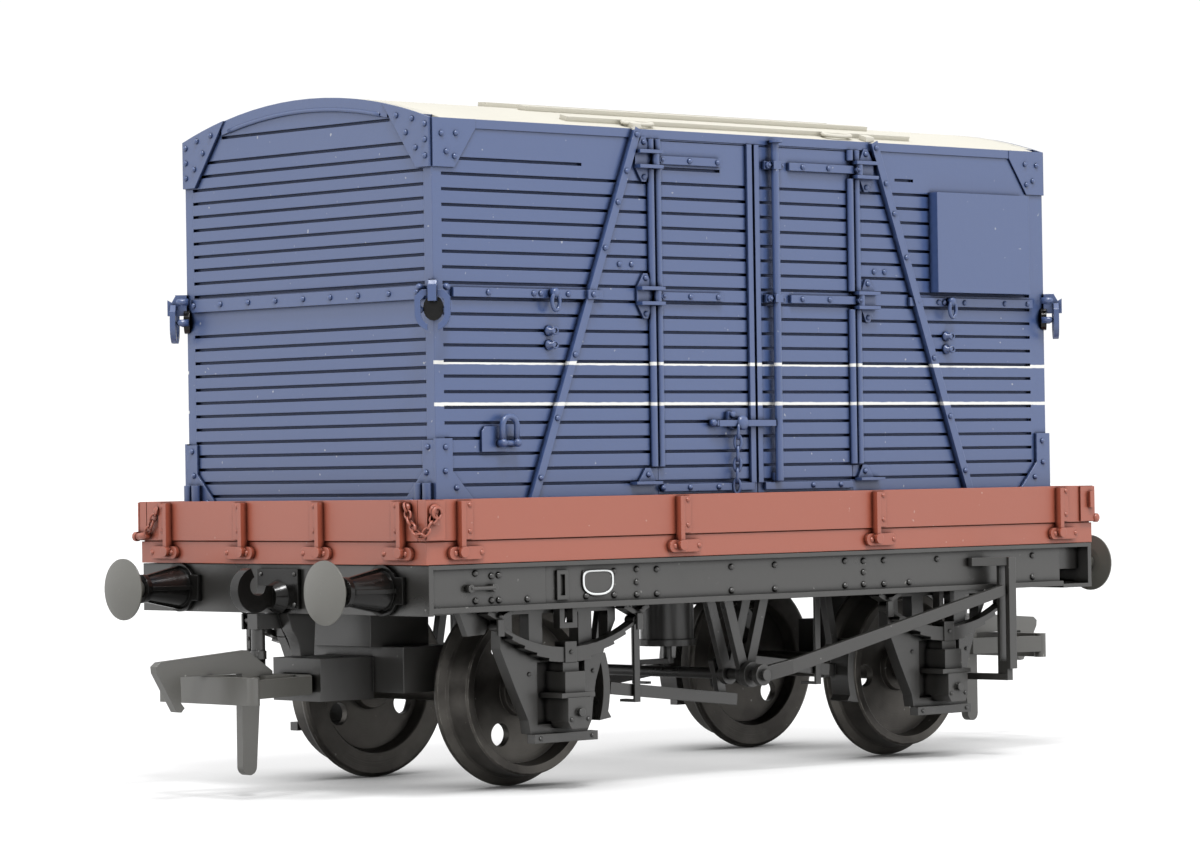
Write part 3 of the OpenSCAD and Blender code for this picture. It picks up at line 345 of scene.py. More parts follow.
def white_stripes(tree, colour):
    """Two thin white lines along each side of the container, and roof paint on top of its ends."""
    place = node(tree, "ShaderNodeTexCoord").outputs["Object"]
    parts = node(tree, "ShaderNodeSeparateXYZ", {0: place}).outputs
    facing = node(tree, "ShaderNodeNewGeometry").outputs["True Normal"]
    upward = node(tree, "ShaderNodeSeparateXYZ", {0: facing}).outputs[2]
    outward = maths(tree, "LESS_THAN", maths(tree, "ABSOLUTE", upward), 0.75)
    wobble = noise(tree, place, 1400.0, 2.0)
    wobble = maths(tree, "MULTIPLY", maths(tree, "SUBTRACT", wobble, 0.5), STRIPE_WOBBLE * MM)
    wide, narrow = (STRIPE_WIDTH / 2 + STRIPE_BLUR) * MM, (STRIPE_WIDTH / 2 - STRIPE_BLUR) * MM
    line = None
    for z in STRIPE_HEIGHTS:
        off = maths(tree, "ABSOLUTE", maths(tree, "SUBTRACT", parts[2], z * MM))
        one = remap(tree, maths(tree, "ADD", off, wobble), wide, narrow)
        line = one if line is None else maths(tree, "MAXIMUM", line, one)
    inside = maths(tree, "LESS_THAN", maths(tree, "ABSOLUTE", parts[0]), STRIPE_REACH * MM)
    side = maths(tree, "GREATER_THAN", maths(tree, "ABSOLUTE", parts[1]), STRIPE_PLANE)
    on_side = maths(tree, "MULTIPLY", outward, side)
    mask = maths(tree, "MULTIPLY", maths(tree, "MULTIPLY", line, inside), on_side)
    colour = mixed(tree, mask, colour, STRIPE_PAINT)
    sloped, high = maths(tree, "GREATER_THAN", upward, 0.3), maths(tree, "GREATER_THAN", parts[2], ROOF_LINE)
    behind_bead = maths(tree, "LESS_THAN", maths(tree, "ABSOLUTE", parts[0]), ROOF_REACH)
    rim = maths(tree, "MULTIPLY", maths(tree, "MULTIPLY", sloped, high), behind_bead)
    return mixed(tree, rim, colour, ROOF_PAINT)


def turned_metal(name, dark, bright, centre_x, tread):
    """Blackened turned metal, with the running surface worn bright and painted shade in its grooves."""
    material = bpy.data.materials.new(name)
    material.use_nodes = True
    tree = material.node_tree
    shader = tree.nodes["Principled BSDF"]
    body = use_group(tree, "mottle", Colour=dark, Pale=bright, Patch_Scale=220.0, Patch_Amount=0.25,
                     Fleck_Amount=0.2, Roughness=0.42, Roughness_Spread=0.2)
    colour = body["Colour"]
    place = node(tree, "ShaderNodeTexCoord").outputs["Object"]
    parts = node(tree, "ShaderNodeSeparateXYZ", {0: place}).outputs
    x = maths(tree, "SUBTRACT", maths(tree, "ABSOLUTE", parts[0]), centre_x)
    z = maths(tree, "SUBTRACT", parts[2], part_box("front_wheels")[1].z / 2)
    squares = maths(tree, "ADD", maths(tree, "MULTIPLY", x, x), maths(tree, "MULTIPLY", z, z))
    radius = maths(tree, "SQRT", squares)
    turns = maths(tree, "MULTIPLY", radius, 9000.0)
    rings = node(tree, "ShaderNodeTexNoise", {"W": turns, "Scale": 1.0, "Detail": 2.0},
                 noise_dimensions="1D").outputs[0]
    shut = use_group(tree, "crevices")["Mask"]
    # painted shade: darker in grooves and crevices, where occlusion is high
    colour = mixed(tree, maths(tree, "MULTIPLY", shut, 0.6), colour, linear(24, 22, 20))
    edges = use_group(tree, "worn_and_highlit_edges", Radius=0.11 * MM, Breakup_Scale=1300.0)
    worn = remap(tree, radius, tread - 0.6 * MM, tread - 0.3 * MM, 0.2, 1.0)
    colour = mixed(tree, maths(tree, "MULTIPLY", edges["Mask"], worn), colour, bright)
    turned = node(tree, "ShaderNodeBump", {"Strength": 0.25, "Distance": RING_DEPTH, "Height": rings,
                                           "Normal": edges["Normal"]}).outputs[0]
    tree.links.new(colour, shader.inputs["Base Color"])
    tree.links.new(body["Roughness"], shader.inputs["Roughness"])
    tree.links.new(turned, shader.inputs["Normal"])
    shader.inputs["Metallic"].default_value = 0.7
    return material


TREAD_RADIUS = 6.3 * MM


def make_materials():
    GROUPS["mottle"] = mottle_group()
    GROUPS["worn_and_highlit_edges"] = edge_group()
    GROUPS["crevices"] = crevice_group()
    GROUPS["moulded_grain"] = grain_group()
    made = {}
    made["container_blue"] = plastic(
        "container_blue", linear(59, 79, 123), linear(66, 86, 129), linear(8, 11, 26), 0.34, 1.0, patch=0.25,
        flecks=0.35, edge_highlight=linear(86, 101, 148), crevice=0.9, paint=white_stripes)
    made["roof_white"] = plastic(
        "roof_white", ROOF_PAINT, linear(202, 199, 190), linear(150, 146, 130), 0.6, 0.35, flecks=0.0,
        crevice=0.5, matt_grooves=0.0)
    made["body_red_brown"] = plastic(
        "body_red_brown", linear(150, 74, 52), linear(156, 82, 60), linear(52, 14, 9), 0.42, 1.0, patch=0.25,
        flecks=0.25, edge_highlight=linear(176, 98, 76), crevice=0.85)
    made["underframe_black"] = plastic(
        "underframe_black", linear(39, 38, 36), linear(48, 47, 45), linear(6, 6, 5), 0.32, 1.0, patch=0.3,
        flecks=0.2, edge_highlight=linear(74, 73, 68), crevice=0.85)
    made["gloss_black"] = plastic(
        "gloss_black", linear(14, 13, 12), linear(22, 21, 19), linear(5, 5, 4), 0.24, 0.4, patch=0.3,
        flecks=0.1, edge_highlight=linear(52, 50, 46), crevice=0.7)
    made["coupling_plastic"] = plastic(
        "coupling_plastic", linear(76, 75, 71), linear(86, 86, 81), linear(24, 24, 22), 0.34, 1.0, patch=0.3,
        flecks=0.2, edge_highlight=linear(110, 110, 105))
    made["white_line"] = plastic(
        "white_line", linear(225, 228, 228), linear(240, 240, 240), linear(160, 160, 160), 0.5, 0.4, flecks=0.0)
    axle_x = (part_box("rear_axle")[0].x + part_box("rear_axle")[1].x) / 2
    made["wheel_steel"] = turned_metal(
        "wheel_steel", linear(58, 55, 52), linear(170, 166, 158), axle_x, TREAD_RADIUS)
    made["buffer_metal"] = plastic(
        "buffer_metal", linear(84, 83, 77), linear(96, 95, 89), linear(20, 18, 16), 0.45, 1.0, patch=0.5,
        flecks=0.35, edge_highlight=linear(120, 118, 110))
    return made


# ---------------------------------------------------------------- geometry nodes
def new_tree(name, ins):
    tree = bpy.data.node_groups.new(name, "GeometryNodeTree")
    tree.interface.new_socket(name="Geometry", in_out="INPUT", socket_type="NodeSocketGeometry")
    for label, kind, value in ins:
        socket = tree.interface.new_socket(name=label, in_out="INPUT", socket_type=kind)
        if value is not None:
            socket.default_value = value
    tree.interface.new_socket(name="Geometry", in_out="OUTPUT", socket_type="NodeSocketGeometry")
    return tree, tree.nodes.new("NodeGroupInput").outputs, tree.nodes.new("NodeGroupOutput").inputs


def finish_tree(tree, geometry, material, out):
    real = node(tree, "GeometryNodeRealizeInstances", {"Geometry": geometry}).outputs[0]
    smooth = node(tree, "GeometryNodeSetShadeSmooth", {"Geometry": real}).outputs[0]
    done = node(tree, "GeometryNodeSetMaterial", {"Geometry": smooth, "Material": material}).outputs[0]
    tree.links.new(done, out["Geometry"])


def stand_on_points(tree, points, instance, size):
    """Instances that stand along each point's own outward direction."""
    out_way = node(tree, "GeometryNodeInputNamedAttribute", {"Name": "outward"}, data_type="FLOAT_VECTOR")
    turn = node(tree, "FunctionNodeAlignRotationToVector", {"Vector": out_way.outputs[0]}, axis="Z").outputs[0]
    links = {"Points": points, "Instance": instance, "Rotation": turn, "Scale": size}
    return node(tree, "GeometryNodeInstanceOnPoints", links).outputs[0]


def rivet_tree():
    """A domed head on every point, standing along the point's own outward direction."""
    tree, i, o = new_tree(
        "rivet_heads",
        [("Radius", NUMBER, 0.0002), ("Height", NUMBER, 0.00015), ("Sides", "NodeSocketInt", 10),
         ("Material", "NodeSocketMaterial", None)],
    )
    ball = node(tree, "GeometryNodeMeshUVSphere", {"Segments": i["Sides"], "Rings": 6, "Radius": 1.0})
    size = node(tree, "ShaderNodeCombineXYZ", {0: i["Radius"], 1: i["Radius"], 2: i["Height"]}).outputs[0]
    heads = stand_on_points(tree, i["Geometry"], ball.outputs[0], size)
    finish_tree(tree, heads, i["Material"], o)
    return tree


def bolt_tree():
    """A six-sided nut with a round end to its bolt on every point."""
    tree, i, o = new_tree(
        "hexagon_bolts",
        [("Radius", NUMBER, 0.0003), ("Height", NUMBER, 0.0002), ("Material", "NodeSocketMaterial", None)],
    )
    nut = node(tree, "GeometryNodeMeshCylinder", {"Vertices": 6, "Radius": 1.0, "Depth": 2.0}).outputs[0]
    ball = node(tree, "GeometryNodeMeshUVSphere", {"Segments": 8, "Rings": 5, "Radius": 0.6}).outputs[0]
    stretched = {"Geometry": ball, "Translation": (0, 0, 1.0), "Scale": (1, 1, 1.4)}
    end = node(tree, "GeometryNodeTransform", stretched)
    both = node(tree, "GeometryNodeJoinGeometry")
    tree.links.new(nut, both.inputs[0])
    tree.links.new(end.outputs[0], both.inputs[0])
    size = node(tree, "ShaderNodeCombineXYZ", {0: i["Radius"], 1: i["Radius"], 2: i["Height"]}).outputs[0]
    bolts = stand_on_points(tree, i["Geometry"], both.outputs[0], size)
    real = node(tree, "GeometryNodeRealizeInstances", {"Geometry": bolts}).outputs[0]
    done = node(tree, "GeometryNodeSetMaterial", {"Geometry": real, "Material": i["Material"]}).outputs[0]
    tree.links.new(done, o["Geometry"])
    return tree


def chain_tree():
    """Oval links along a line, every other one turned a quarter round it."""
    tree, i, o = new_tree(
        "chain_links",
        [("Pitch", NUMBER, 0.0008), ("Link Width", NUMBER, 0.0003), ("Wire", NUMBER, 0.0001),
         ("Material", "NodeSocketMaterial", None)],
    )
    line = node(tree, "GeometryNodeMeshToCurve", {0: i["Geometry"]}).outputs[0]
    line = node(tree, "GeometryNodeResampleCurve", {"Curve": line, "Length": i["Pitch"]}, mode="LENGTH")
    line = line.outputs[0]
    ring = node(tree, "GeometryNodeCurvePrimitiveCircle", {"Resolution": 12, "Radius": 1.0}).outputs[0]
    long_way = maths(tree, "MULTIPLY", i["Pitch"], 0.68)
    shape = node(tree, "ShaderNodeCombineXYZ", {0: long_way, 1: i["Link Width"], 2: 1.0}).outputs[0]
    ring = node(tree, "GeometryNodeTransform", {"Geometry": ring, "Scale": shape}).outputs[0]
    wire = node(tree, "GeometryNodeCurvePrimitiveCircle", {"Resolution": 6, "Radius": i["Wire"]}).outputs[0]
    link = node(tree, "GeometryNodeCurveToMesh", {"Curve": ring, "Profile Curve": wire}).outputs[0]
    along = node(tree, "GeometryNodeInputTangent").outputs[0]
    turn = node(tree, "FunctionNodeAlignRotationToVector", {"Vector": along}, axis="X").outputs[0]
    odd = maths(tree, "MODULO", node(tree, "GeometryNodeInputIndex").outputs[0], 2.0)
    quarter = maths(tree, "ADD", maths(tree, "MULTIPLY", odd, math.pi / 2), math.pi / 4)
    twist = node(tree, "FunctionNodeAxisAngleToRotation", {"Axis": (1, 0, 0), "Angle": quarter}).outputs[0]
    turn = node(tree, "FunctionNodeRotateRotation", {0: turn, 1: twist}, rotation_space="LOCAL").outputs[0]
    links = node(tree, "GeometryNodeInstanceOnPoints", {"Points": line, "Instance": link, "Rotation": turn})
    finish_tree(tree, links.outputs[0], i["Material"], o)
    return tree


TREES = {}


def bake(name, points, tree, inputs, outward=None, joined=False, body="wagon"):
    """Runs a tree on points and keeps the result as a plain mesh piece riding on a body."""
    mesh = bpy.data.meshes.new(name + "_points")
    edges = [(k, k + 1) for k in range(len(points) - 1)] if joined is True else (joined or [])
    mesh.from_pydata([tuple(p) for p in points], edges, [])
    if outward:
        way = mesh.attributes.new("outward", "FLOAT_VECTOR", "POINT")
        way.data.foreach_set("vector", [c for n in outward for c in n])
    holder = bpy.data.objects.new(name + "_holder", mesh)
    bpy.context.collection.objects.link(holder)
    modifier = holder.modifiers.new("make", "NODES")
    modifier.node_group = TREES[tree]
    for item in TREES[tree].interface.items_tree:
        if item.in_out == "INPUT" and item.name in inputs:
            modifier[item.identifier] = inputs[item.name]
    depsgraph = bpy.context.evaluated_depsgraph_get()
    made = bpy.data.meshes.new_from_object(holder.evaluated_get(depsgraph))
    made.name = name
    bpy.data.objects.remove(holder)
    piece = bpy.data.objects.new(name, made)
    bpy.context.collection.objects.link(piece)
    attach(piece, body)
    return piece


# ---------------------------------------------------------------- shapes built one by one
class Shape:
    """Collects tubes, turned forms and outlines into one mesh piece."""

    def __init__(self):
        self.mesh = bmesh.new()

    def tube(self, path, radius, sides=8, closed=False):
        path = [Vector(p) for p in path]
        count = len(path)
        rings, across = [], None
        for k, p in enumerate(path):
            ahead = path[(k + 1) % count] if closed or k < count - 1 else p
            behind = path[k - 1] if closed or k else p
            way = (ahead - behind).normalized()
            if across is None:
                across = way.orthogonal().normalized()
            across = (across - way * across.dot(way)).normalized()
            up = way.cross(across)
            r = radius[k] if isinstance(radius, (list, tuple)) else radius
            rings.append([
                self.mesh.verts.new(p + (across * math.cos(a) + up * math.sin(a)) * r)
                for a in (2 * math.pi * n / sides for n in range(sides))
            ])
        spans = range(count) if closed else range(count - 1)
        for k in spans:
            a, b = rings[k], rings[(k + 1) % count]
            shift = 0
            if closed and k == count - 1:
                shift = min(range(sides), key=lambda s: (b[s].co - a[0].co).length)
            for n in range(sides):
                m = (n + 1) % sides
                face = self.mesh.faces.new((a[n], a[m], b[(m + shift) % sides], b[(n + shift) % sides]))
                face.smooth = True
        if not closed:
            self.mesh.faces.new(list(reversed(rings[0])))
            self.mesh.faces.new(rings[-1])

    def turned(self, foot, way, profile, sides=16):
        """A turned form: profile lists (distance along way, radius)."""
        way = Vector(way).normalized()
        self.tube([Vector(foot) + way * (d * MM) for d, r in profile], [r * MM for d, r in profile], sides)

    def prism(self, outline, depth):
        """A closed outline of places, thickened along depth."""
        low = [self.mesh.verts.new(Vector(p)) for p in outline]
        high = [self.mesh.verts.new(Vector(p) + Vector(depth)) for p in outline]
        count = len(outline)
        self.mesh.faces.new(low)
        self.mesh.faces.new(list(reversed(high)))
        for k in range(count):
            m = (k + 1) % count
            self.mesh.faces.new((low[m], low[k], high[k], high[m]))

    def done(self, name, material, slot, body="wagon"):
        """Keeps the shape and its copy turned half round the wagon's middle."""
        half = [f for f in self.mesh.faces]
        copy = bmesh.ops.duplicate(self.mesh, geom=list(self.mesh.verts) + list(self.mesh.edges) + half)
        bmesh.ops.rotate(self.mesh, verts=[g for g in copy["geom"] if isinstance(g, bmesh.types.BMVert)],
                         cent=(0, 0, 0), matrix=Matrix.Rotation(math.pi, 3, "Z"))
        bmesh.ops.recalc_face_normals(self.mesh, faces=list(self.mesh.faces))
        mesh = bpy.data.meshes.new(name)
        self.mesh.to_mesh(mesh)
        self.mesh.free()
        mesh.materials.append(material)
        piece = bpy.data.objects.new(name, mesh)
        bpy.context.collection.objects.link(piece)
        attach(piece, body)
        return piece


def arc(centre, radius, start, end, steps, plane="xz"):
    """Places on an arc; angles in degrees from the plane's first axis."""
    made = []
    for k in range(steps + 1):
        a = math.radians(start + (end - start) * k / steps)
        p = Vector(centre)
        setattr(p, plane[0], getattr(p, plane[0]) + radius * MM * math.cos(a))
        setattr(p, plane[1], getattr(p, plane[1]) + radius * MM * math.sin(a))
        made.append(p)
    return made


def around(steps):
    """Angles evenly round a circle."""
    return [2 * math.pi * k / steps for k in range(steps)]


def with_turned(places):
    """Rivets given as (place, outward) on one side or end, with those on the opposite one."""
    points, ways = [], []
    for place, way in places:
        points += [Vector(place), Vector((-place[0], -place[1], place[2]))]
        ways += [Vector(way), Vector((-way[0], -way[1], way[2]))]
    return points, ways


NEAR, FRONT = (0, -1, 0), (-1, 0, 0)

# ---------------------------------------------------------------- rivets and bolts
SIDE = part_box("container_right_side")[0].y / MM
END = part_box("container_front_end")[0].x / MM
BOX_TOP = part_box("container_right_side")[1].z / MM
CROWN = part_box("container_roof")[1].z / MM
BELT_Z = BOX_TOP - 12.2
HINGE_Z = BOX_TOP - 2.2
STRAP, DIAGONAL, GUSSET, BRACKET, PLATE = 0.3, 0.45, 0.15, 0.25, 0.2


def roof_circle():
    """Radius of the roof's curve and the height of its middle, in millimetres."""
    rise = CROWN - BOX_TOP
    radius = (SIDE * SIDE + rise * rise) / (2 * rise)
    return radius, CROWN - radius


def on_diagonal(z, side):
    """How far along the slanting strap is at a height."""
    top, foot = (12.35, 22.75) if side > 0 else (12.6, 23.4)
    foot_z = 20.68
    return side * (top + (foot - top) * (BOX_TOP - z) / (BOX_TOP - foot_z))


def container_rivets():
    made = []
    strap, bar = SIDE - STRAP, SIDE - DIAGONAL
    for x in (-27.3, -22.98, -22.31, -19.67, 17.12, 19.47, 20.1, 22.48, 27.19, 29.9):
        made.append((v(x, strap, BELT_Z), NEAR))
    for z in (47.3, 44.6, 42.3, 38.95, 31.2, 26.65, 22.4):
        made += [(v(on_diagonal(z, s), bar, z), NEAR) for s in (-1, 1)]
    made.append((v(-17.45, bar - 0.15, BELT_Z), NEAR))
    for x, z in ((31.35, 46.64), (30.01, 46.7), (30.91, 45.39), (30.15, 45.08)):
        made += [(v(s * x, SIDE - GUSSET, z), NEAR) for s in (-1, 1)]
    for z, places in ((HINGE_Z, (-7.34, -4.45, 4.57, 7.37)), (BELT_Z, (-7.44, -4.57, 4.35, 7.29)),
                      (21.5, (-10.52, -7.78, -4.82, 5.2, 8.2))):
        made += [(v(x, strap, z), NEAR) for x in places]
    for x in (-11.9, 11.6):
        made += [(v(x, SIDE - PLATE, BELT_Z + dz), NEAR) for dz in (-1.3, 1.3)]
        made += [(v(x, SIDE - PLATE, HINGE_Z + dz), NEAR) for dz in (-1.3, 1.25)]
    for x, z in ((-14.33, 37.82), (-13.1, 37.84), (12.52, 37.8), (13.68, 37.8), (-11.9, 22.5), (11.0, 22.5)):
        made.append((v(x, SIDE - (PLATE if z < BELT_Z - 5 else 0), z), NEAR))
    for x, z in ((31.45, 24.66), (31.5, 22.98), (30.5, 21.8)):
        made += [(v(s * x, SIDE - BRACKET, z), NEAR) for s in (-1, 1)]
    for y in (12.9, 9.7, 6.4, 3.2, 0.0, -3.1, -6.2, -9.6, -12.65):
        made.append((v(END - STRAP, y, BELT_Z), FRONT))
    for y, z in ((10.65, 48.08), (12.34, 47.76), (13.7, 47.3), (11.65, 46.82), (13.7, 46.2), (12.69, 45.69),
                 (13.7, 45.07)):
        made += [(v(END - BRACKET, s * y, z), FRONT) for s in (-1, 1)]
    for y, z in ((13.5, 24.7), (13.3, 22.9), (11.7, 20.9)):
        made += [(v(END - PLATE, s * y, z), FRONT) for s in (-1, 1)]
    return with_turned(made)


def batten_studs():
    """Small heads along the top of each roof batten."""
    radius, middle = roof_circle()
    half_row, steps, lift = 17.4, 25, 0.29
    made, ways = [], []
    for y in (-12.4, -7.9, -3.5, 3.5, 7.9, 12.4):
        a = math.asin(y / radius)
        way = Vector((0, math.sin(a), math.cos(a)))
        for k in range(steps + 1):
            made.append(v(half_row * (2 * k / steps - 1), 0, middle) + way * ((radius + lift) * MM))
            ways.append(way)
    return made, ways


def body_rivets():
    made = []
    side_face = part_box("right_side_plank")[0].y / MM - 0.12
    end_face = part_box("front_end_plank")[0].x / MM - 0.12
    for x in (-31.25, -10.15, 10.55, 31.65):
        made += [(v(x, side_face, z), NEAR) for z in (20.62, 18.78)]
        made += [(v(x + dx, side_face - 0.05, 17.28), NEAR) for dx in (-1.35, 1.05)]
    for y in (-13.35, -4.4, 4.4, 13.35):
        made += [(v(end_face, y, z), FRONT) for z in (20.65, 18.88)]
        made += [(v(end_face - 0.05, y + dy, 17.28), FRONT) for dy in (1.25, -1.05)]
    return with_turned(made)


SOLEBAR_RIVETS = (
    (-30.41, (15.82, 13.9)), (-28.91, (15.6, 13.9)), (-28.24, (15.64, 13.9)), (-25.54, (13.88,)),
    (-19.81, (13.9,)), (-17.07, (15.61, 13.9)), (-14.83, (15.7, 14.76, 13.85)), (-12.82, (15.64, 13.85)),
    (-5.22, (15.6, 13.85)),
    (-0.68, (15.63, 13.84)), (6.85, (15.73, 13.85)), (8.88, (15.68, 14.81, 13.89)), (11.12, (15.66, 13.85)),
    (13.94, (13.9,)), (17.1, (15.6,)), (28.2, (15.6, 13.9)),
)


def frame_rivets():
    """Solebar rivets, guard bolts, axlebox bolts and spring pins."""
    big, small = [], []
    for x, heights in SOLEBAR_RIVETS:
        face = -15.95 - (0.12 if x < -23.8 else 0.0)
        big += [(v(x, face, z), NEAR) for z in heights]
    for axle in (-20.0, 20.0):
        for s in (-1, 1):
            small += [(v(axle + s * 3.1, -13.4, 8.4), NEAR), (v(axle + s * 2.5, -13.9, 3.78), NEAR)]
            small += [(v(axle + s * 6.6, -14.35, 11.95), NEAR), (v(axle + s * 6.8, -14.65, 12.7), NEAR)]
            small += [(v(axle + s * 3.0, -13.4, 9.9), NEAR), (v(axle + s * 0.8, -15.35, 5.1), NEAR)]
        small.append((v(axle, -14.5, 9.9), NEAR))
    for y, z in ((-1.9, 15.77), (-1.9, 13.6), (1.9, 15.77), (1.9, 13.6)):
        small.append((v(-35.17, y, z), FRONT))
    for k in range(9):
        small.append((v(23.95, -17.75, 7.6 + 0.93 * k), (1, 0, 0)))
    return with_turned(big), with_turned(small)


def make_fasteners(materials):
    points, ways = container_rivets()
    blue = {"Radius": 0.22 * MM, "Height": 0.2 * MM, "Material": materials["container_blue"]}
    bake("container_rivets", points, "rivets", blue, ways)
    points, ways = batten_studs()
    pale = {"Radius": 0.16 * MM, "Height": 0.09 * MM, "Sides": 8, "Material": materials["roof_white"]}
    bake("roof_studs", points, "rivets", pale, ways)
    points, ways = body_rivets()
    red = {"Radius": 0.22 * MM, "Height": 0.2 * MM, "Material": materials["body_red_brown"]}
    bake("body_rivets", points, "rivets", red, ways)
    big, small = frame_rivets()
    black = {"Radius": 0.25 * MM, "Height": 0.22 * MM, "Material": materials["underframe_black"]}
    bake("solebar_rivets", big[0], "rivets", black, big[1])
    black = {"Radius": 0.17 * MM, "Height": 0.15 * MM, "Sides": 8, "Material": materials["underframe_black"]}
    bake("underframe_rivets", small[0], "rivets", black, small[1])
    nuts = []
    for z in (HINGE_Z, BELT_Z):
        nuts += [(v(x, SIDE - 0.4, z), NEAR) for x in (0.7, 2.0)]
        nuts += [(v(x, SIDE - 0.4, z), NEAR) for x in (-10.4, 10.4)]
    points, ways = with_turned(nuts)
    blue = {"Radius": 0.27 * MM, "Height": 0.2 * MM, "Material": materials["container_blue"]}
    bake("door_nuts", points, "bolts", blue, ways)


def make_chains(materials):
    red = {"Pitch": 0.5 * MM, "Link Width": 0.24 * MM, "Wire": 0.09 * MM,
           "Material": materials["body_red_brown"]}
    # round the corner, from the end plank down and up to the side's pin
    hung = [v(-35.45, -14.7, 20.5), v(-35.5, -15.1, 19.6), v(-35.55, -15.7, 18.85), v(-35.55, -16.25, 18.5),
            v(-35.4, -16.7, 18.75), v(-34.9, -16.85, 19.5), v(-34.6, -16.8, 20.2)]
    short = [v(-35.4, 14.05, 20.3), v(-35.5, 14.35, 19.6), v(-35.55, 14.8, 18.95)]
    points, edges = [], []
    for path in (hung, short):
        for turn in (1, -1):
            base = len(points)
            points += [Vector((turn * p.x, turn * p.y, p.z)) for p in path]
            edges += [(base + k, base + k + 1) for k in range(len(path) - 1)]
    bake("corner_chains", points, "chain", red, joined=edges)
    blue = {"Pitch": 0.78 * MM, "Link Width": 0.24 * MM, "Wire": 0.12 * MM,
            "Material": materials["container_blue"]}
    fall = [v(-3.05, -14.75, 25.6), v(-3.12, -14.6, 21.5)]
    points = fall + [Vector((-p.x, -p.y, p.z)) for p in fall]
    bake("latch_chains", points, "chain", blue, joined=[(0, 1), (2, 3)])


def make_container_fittings(materials):
    blue = materials["container_blue"]
    shape = Shape()
    # shackle low on the left of the side, on its bolted plate
    y = SIDE
    plate = ((-28.0, 24.3), (-28.0, 25.75), (-27.7, 26.1), (-26.0, 26.1), (-25.7, 25.75), (-25.7, 24.3))
    shape.prism([v(x, y, z) for x, z in plate], v(0, -PLATE, 0))
    left_foot, right_foot = v(-26.45, y - 0.6, 24.9), v(-25.1, y - 0.6, 24.9)
    bow = [left_foot] + arc(v(-25.78, y - 0.65, 26.1), 0.68, 180, 0, 12) + [right_foot]
    shape.tube(bow, 0.22 * MM, 10)
    shape.tube([v(-26.5, y - 0.6, 24.9), v(-25.05, y - 0.6, 24.9)], 0.2 * MM, 8)
    for x in (-26.45, -25.1):
        shape.turned(v(x, y - 0.1, 24.92), NEAR, ((0, 0.3), (0.7, 0.3), (0.85, 0.2), (0.92, 0.08)), 12)
    shape.done("side_shackles", blue, "container_blue")
    shape = Shape()
    for x in (-21.25, 20.65):
        # an oval ring hanging from a stud on the belt
        ring = [v(x + 0.36 * math.cos(a), y - 0.72, 34.98 + 0.62 * math.sin(a)) for a in around(18)]
        shape.tube(ring, 0.15 * MM, 8, closed=True)
        stud = ((0, 0.34), (0.5, 0.34), (0.62, 0.24), (0.66, 0.08))
        shape.turned(v(x, y - 0.25, 35.62), NEAR, stud, 12)
        for z in (32.9, 31.9):
            stud = ((0, 0.4), (0.25, 0.38), (0.35, 0.2), (0.7, 0.16))
            shape.turned(v(x - 0.15, y + 0.05, z), NEAR, stud, 10)
            shape.tube(arc(v(x + 0.05, y - 0.55, z), 0.24, 0, 330, 11), 0.09 * MM, 6, closed=True)
    shape.done("rope_hooks", blue, "container_blue")
    shape = Shape()
    # the raised bead under the end's arched rim, and the bolts round the dark plate behind each corner ring
    radius, middle = roof_circle()
    radius -= 0.85
    reach = math.degrees(math.asin(8.7 / radius))
    shape.tube(arc(v(END - 0.04, 0, middle), radius, 90 + reach, 90 - reach, 24, "yz"), 0.16 * MM, 8)
    for s in (-1, 1):
        corner = v(END - 0.05, s * (0.05 - SIDE), 34.5)
        out = Vector((-1, s, 0)).normalized()
        along = Vector((-s, -1, 0)).normalized() * MM
        for side in (-1, 1):
            for rise in (-0.2, 1.35):
                shape.turned(corner + along * side * 0.95 + v(0, 0, rise) - out * 0.3 * MM, out,
                             ((0, 0.26), (0.75, 0.26), (0.88, 0.18), (0.94, 0.06)), 10)
    shape.done("end_beads", blue, "container_blue")
    # painted shade: a dark plate behind each corner ring stands for the shadow inside the ring
    shape = Shape()
    for s in (-1, 1):
        out = Vector((-1, s, 0)).normalized()
        along = Vector((-s, -1, 0)).normalized() * MM
        corner = v(END, -s * SIDE, 34.4) - out * 0.25 * MM
        shadow_plate = [corner + along * (0.72 * math.cos(a)) + v(0, 0, 0.9 * math.sin(a)) for a in around(16)]
        shape.prism(shadow_plate, out * 0.45 * MM)
    shape.done("ring_shadow_plates", materials["gloss_black"], "gloss_black")
    shape = Shape()
    # latch: boss, lug above it and the pin that the bar turns on
    left, right, low, high = -5.0, 0.95, 25.98, 26.44
    shape.prism([v(x, y - 0.3, z) for x, z in ((left, low), (right, low), (right, high), (left, high))],
                v(0, -0.38, 0))
    shape.turned(v(-2.6, y - 0.35, 26.24), NEAR, ((0, 0.55), (0.4, 0.55), (0.54, 0.42), (0.6, 0.15)), 16)
    shape.prism([v(-3.85, y, 26.4), v(-2.95, y, 26.4), v(-3.05, y, 27.1), v(-3.75, y, 27.1)], v(0, -0.35, 0))
    shape.turned(v(-3.4, y - 0.2, 26.85), NEAR, ((0, 0.24), (0.35, 0.24), (0.42, 0.15), (0.45, 0.05)), 10)
    shape.turned(v(-5.4, y - 0.2, 26.25), NEAR, ((0, 0.26), (0.35, 0.26), (0.45, 0.18), (0.5, 0.06)), 10)
    shape.done("door_latches", blue, "container_blue")


def make_roof_fittings(materials):
    shape = Shape()
    for x in (-11.6, 9.4):
        # a lashing ring laid flat on the roof, with its eye over the slanting strap
        centre = v(x, SIDE + 0.75, BOX_TOP + 0.5)
        ring = [centre + v(1.45 * math.cos(a), 0.45 * math.sin(a), 0.13 * math.sin(a)) for a in around(20)]
        shape.tube(ring, 0.16 * MM, 8, closed=True)
    shape.done("roof_rings", materials["roof_white"], "roof_white")


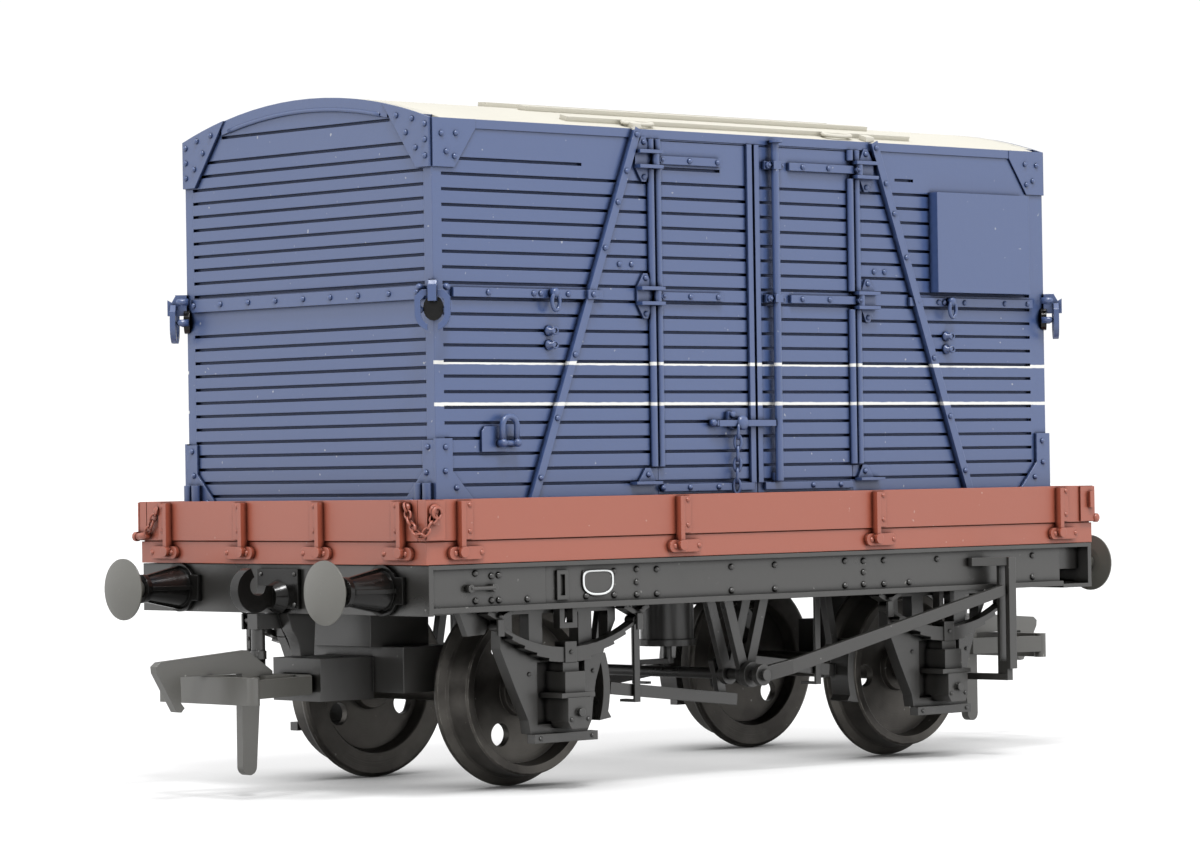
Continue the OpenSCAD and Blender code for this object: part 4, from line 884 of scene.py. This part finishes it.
def make_plate_rims(materials):
    """The white rim of the blank plate on each solebar."""
    shape = Shape()
    face = -16.06
    outer, inner = [], []
    centre_x, centre_z = -18.7, 14.925
    steps = 40
    for k in range(steps):
        a = 2 * math.pi * k / steps
        c, s = math.cos(a), math.sin(a)
        wide = 1.5 * math.copysign(abs(c) ** (0.45 if s > 0 else 0.8), c)
        tall = (0.82 if s > 0 else 0.98) * math.copysign(abs(s) ** (0.45 if s > 0 else 0.8), s)
        outer.append((centre_x + wide, centre_z + tall))
        inner.append((centre_x + wide * 0.9, centre_z + tall * 0.86))
    for k in range(steps):
        m = (k + 1) % steps
        quad = [outer[k], outer[m], inner[m], inner[k]]
        low = [shape.mesh.verts.new(v(px, face, pz)) for px, pz in quad]
        high = [shape.mesh.verts.new(v(px, face - 0.05, pz)) for px, pz in quad]
        shape.mesh.faces.new(low)
        shape.mesh.faces.new(list(reversed(high)))
        shape.mesh.faces.new((low[1], low[0], high[0], high[1]))
        shape.mesh.faces.new((low[3], low[2], high[2], high[3]))
    bmesh.ops.remove_doubles(shape.mesh, verts=list(shape.mesh.verts), dist=1e-7)
    shape.done("plate_rims", materials["white_line"], "roof_white")


def make_body_fittings(materials):
    red = materials["body_red_brown"]
    shape = Shape()
    # cotter pins at the corners and the rings that their chains hang from
    shape.tube([v(-35.45, 14.9, 18.6), v(-35.5, 15.6, 18.5), v(-35.4, 16.4, 18.45)], 0.26 * MM, 10)
    shape.turned(v(-35.35, 16.3, 18.45), (-0.1, 1, 0), ((0, 0.36), (0.3, 0.36), (0.42, 0.2)), 10)
    shape.turned(v(-34.5, -16.4, 20.25), NEAR, ((0, 0.5), (0.25, 0.5), (0.4, 0.4), (0.5, 0.15)), 12)
    shape.tube(arc(v(-34.55, -16.95, 20.1), 0.38, 0, 345, 14), 0.12 * MM, 6, closed=True)
    shape.turned(v(-35.2, -14.7, 20.5), (-1, 0, 0), ((0, 0.3), (0.25, 0.3), (0.35, 0.15)), 10)
    shape.turned(v(-35.2, 14.05, 20.3), (-1, 0, 0), ((0, 0.3), (0.2, 0.3), (0.3, 0.15)), 10)
    shape.done("corner_pins", red, "body_red_brown")


# ---------------------------------------------------------------- assembly
make_camera()
make_light()
make_floor()
MATERIALS = make_materials()
for row in frame["record"]["subparts"]:
    held = frame["nodes"][row["node"]]
    held.data.materials.clear()
    slot_name = "gloss_black" if row["node"] in ("drawhooks", "buffer_housings") else row["material_slot"]
    held.data.materials.append(MATERIALS[slot_name])
TREES["rivets"] = rivet_tree()
TREES["bolts"] = bolt_tree()
TREES["chain"] = chain_tree()
make_fasteners(MATERIALS)
make_chains(MATERIALS)
make_container_fittings(MATERIALS)
make_roof_fittings(MATERIALS)
make_plate_rims(MATERIALS)
make_body_fittings(MATERIALS)
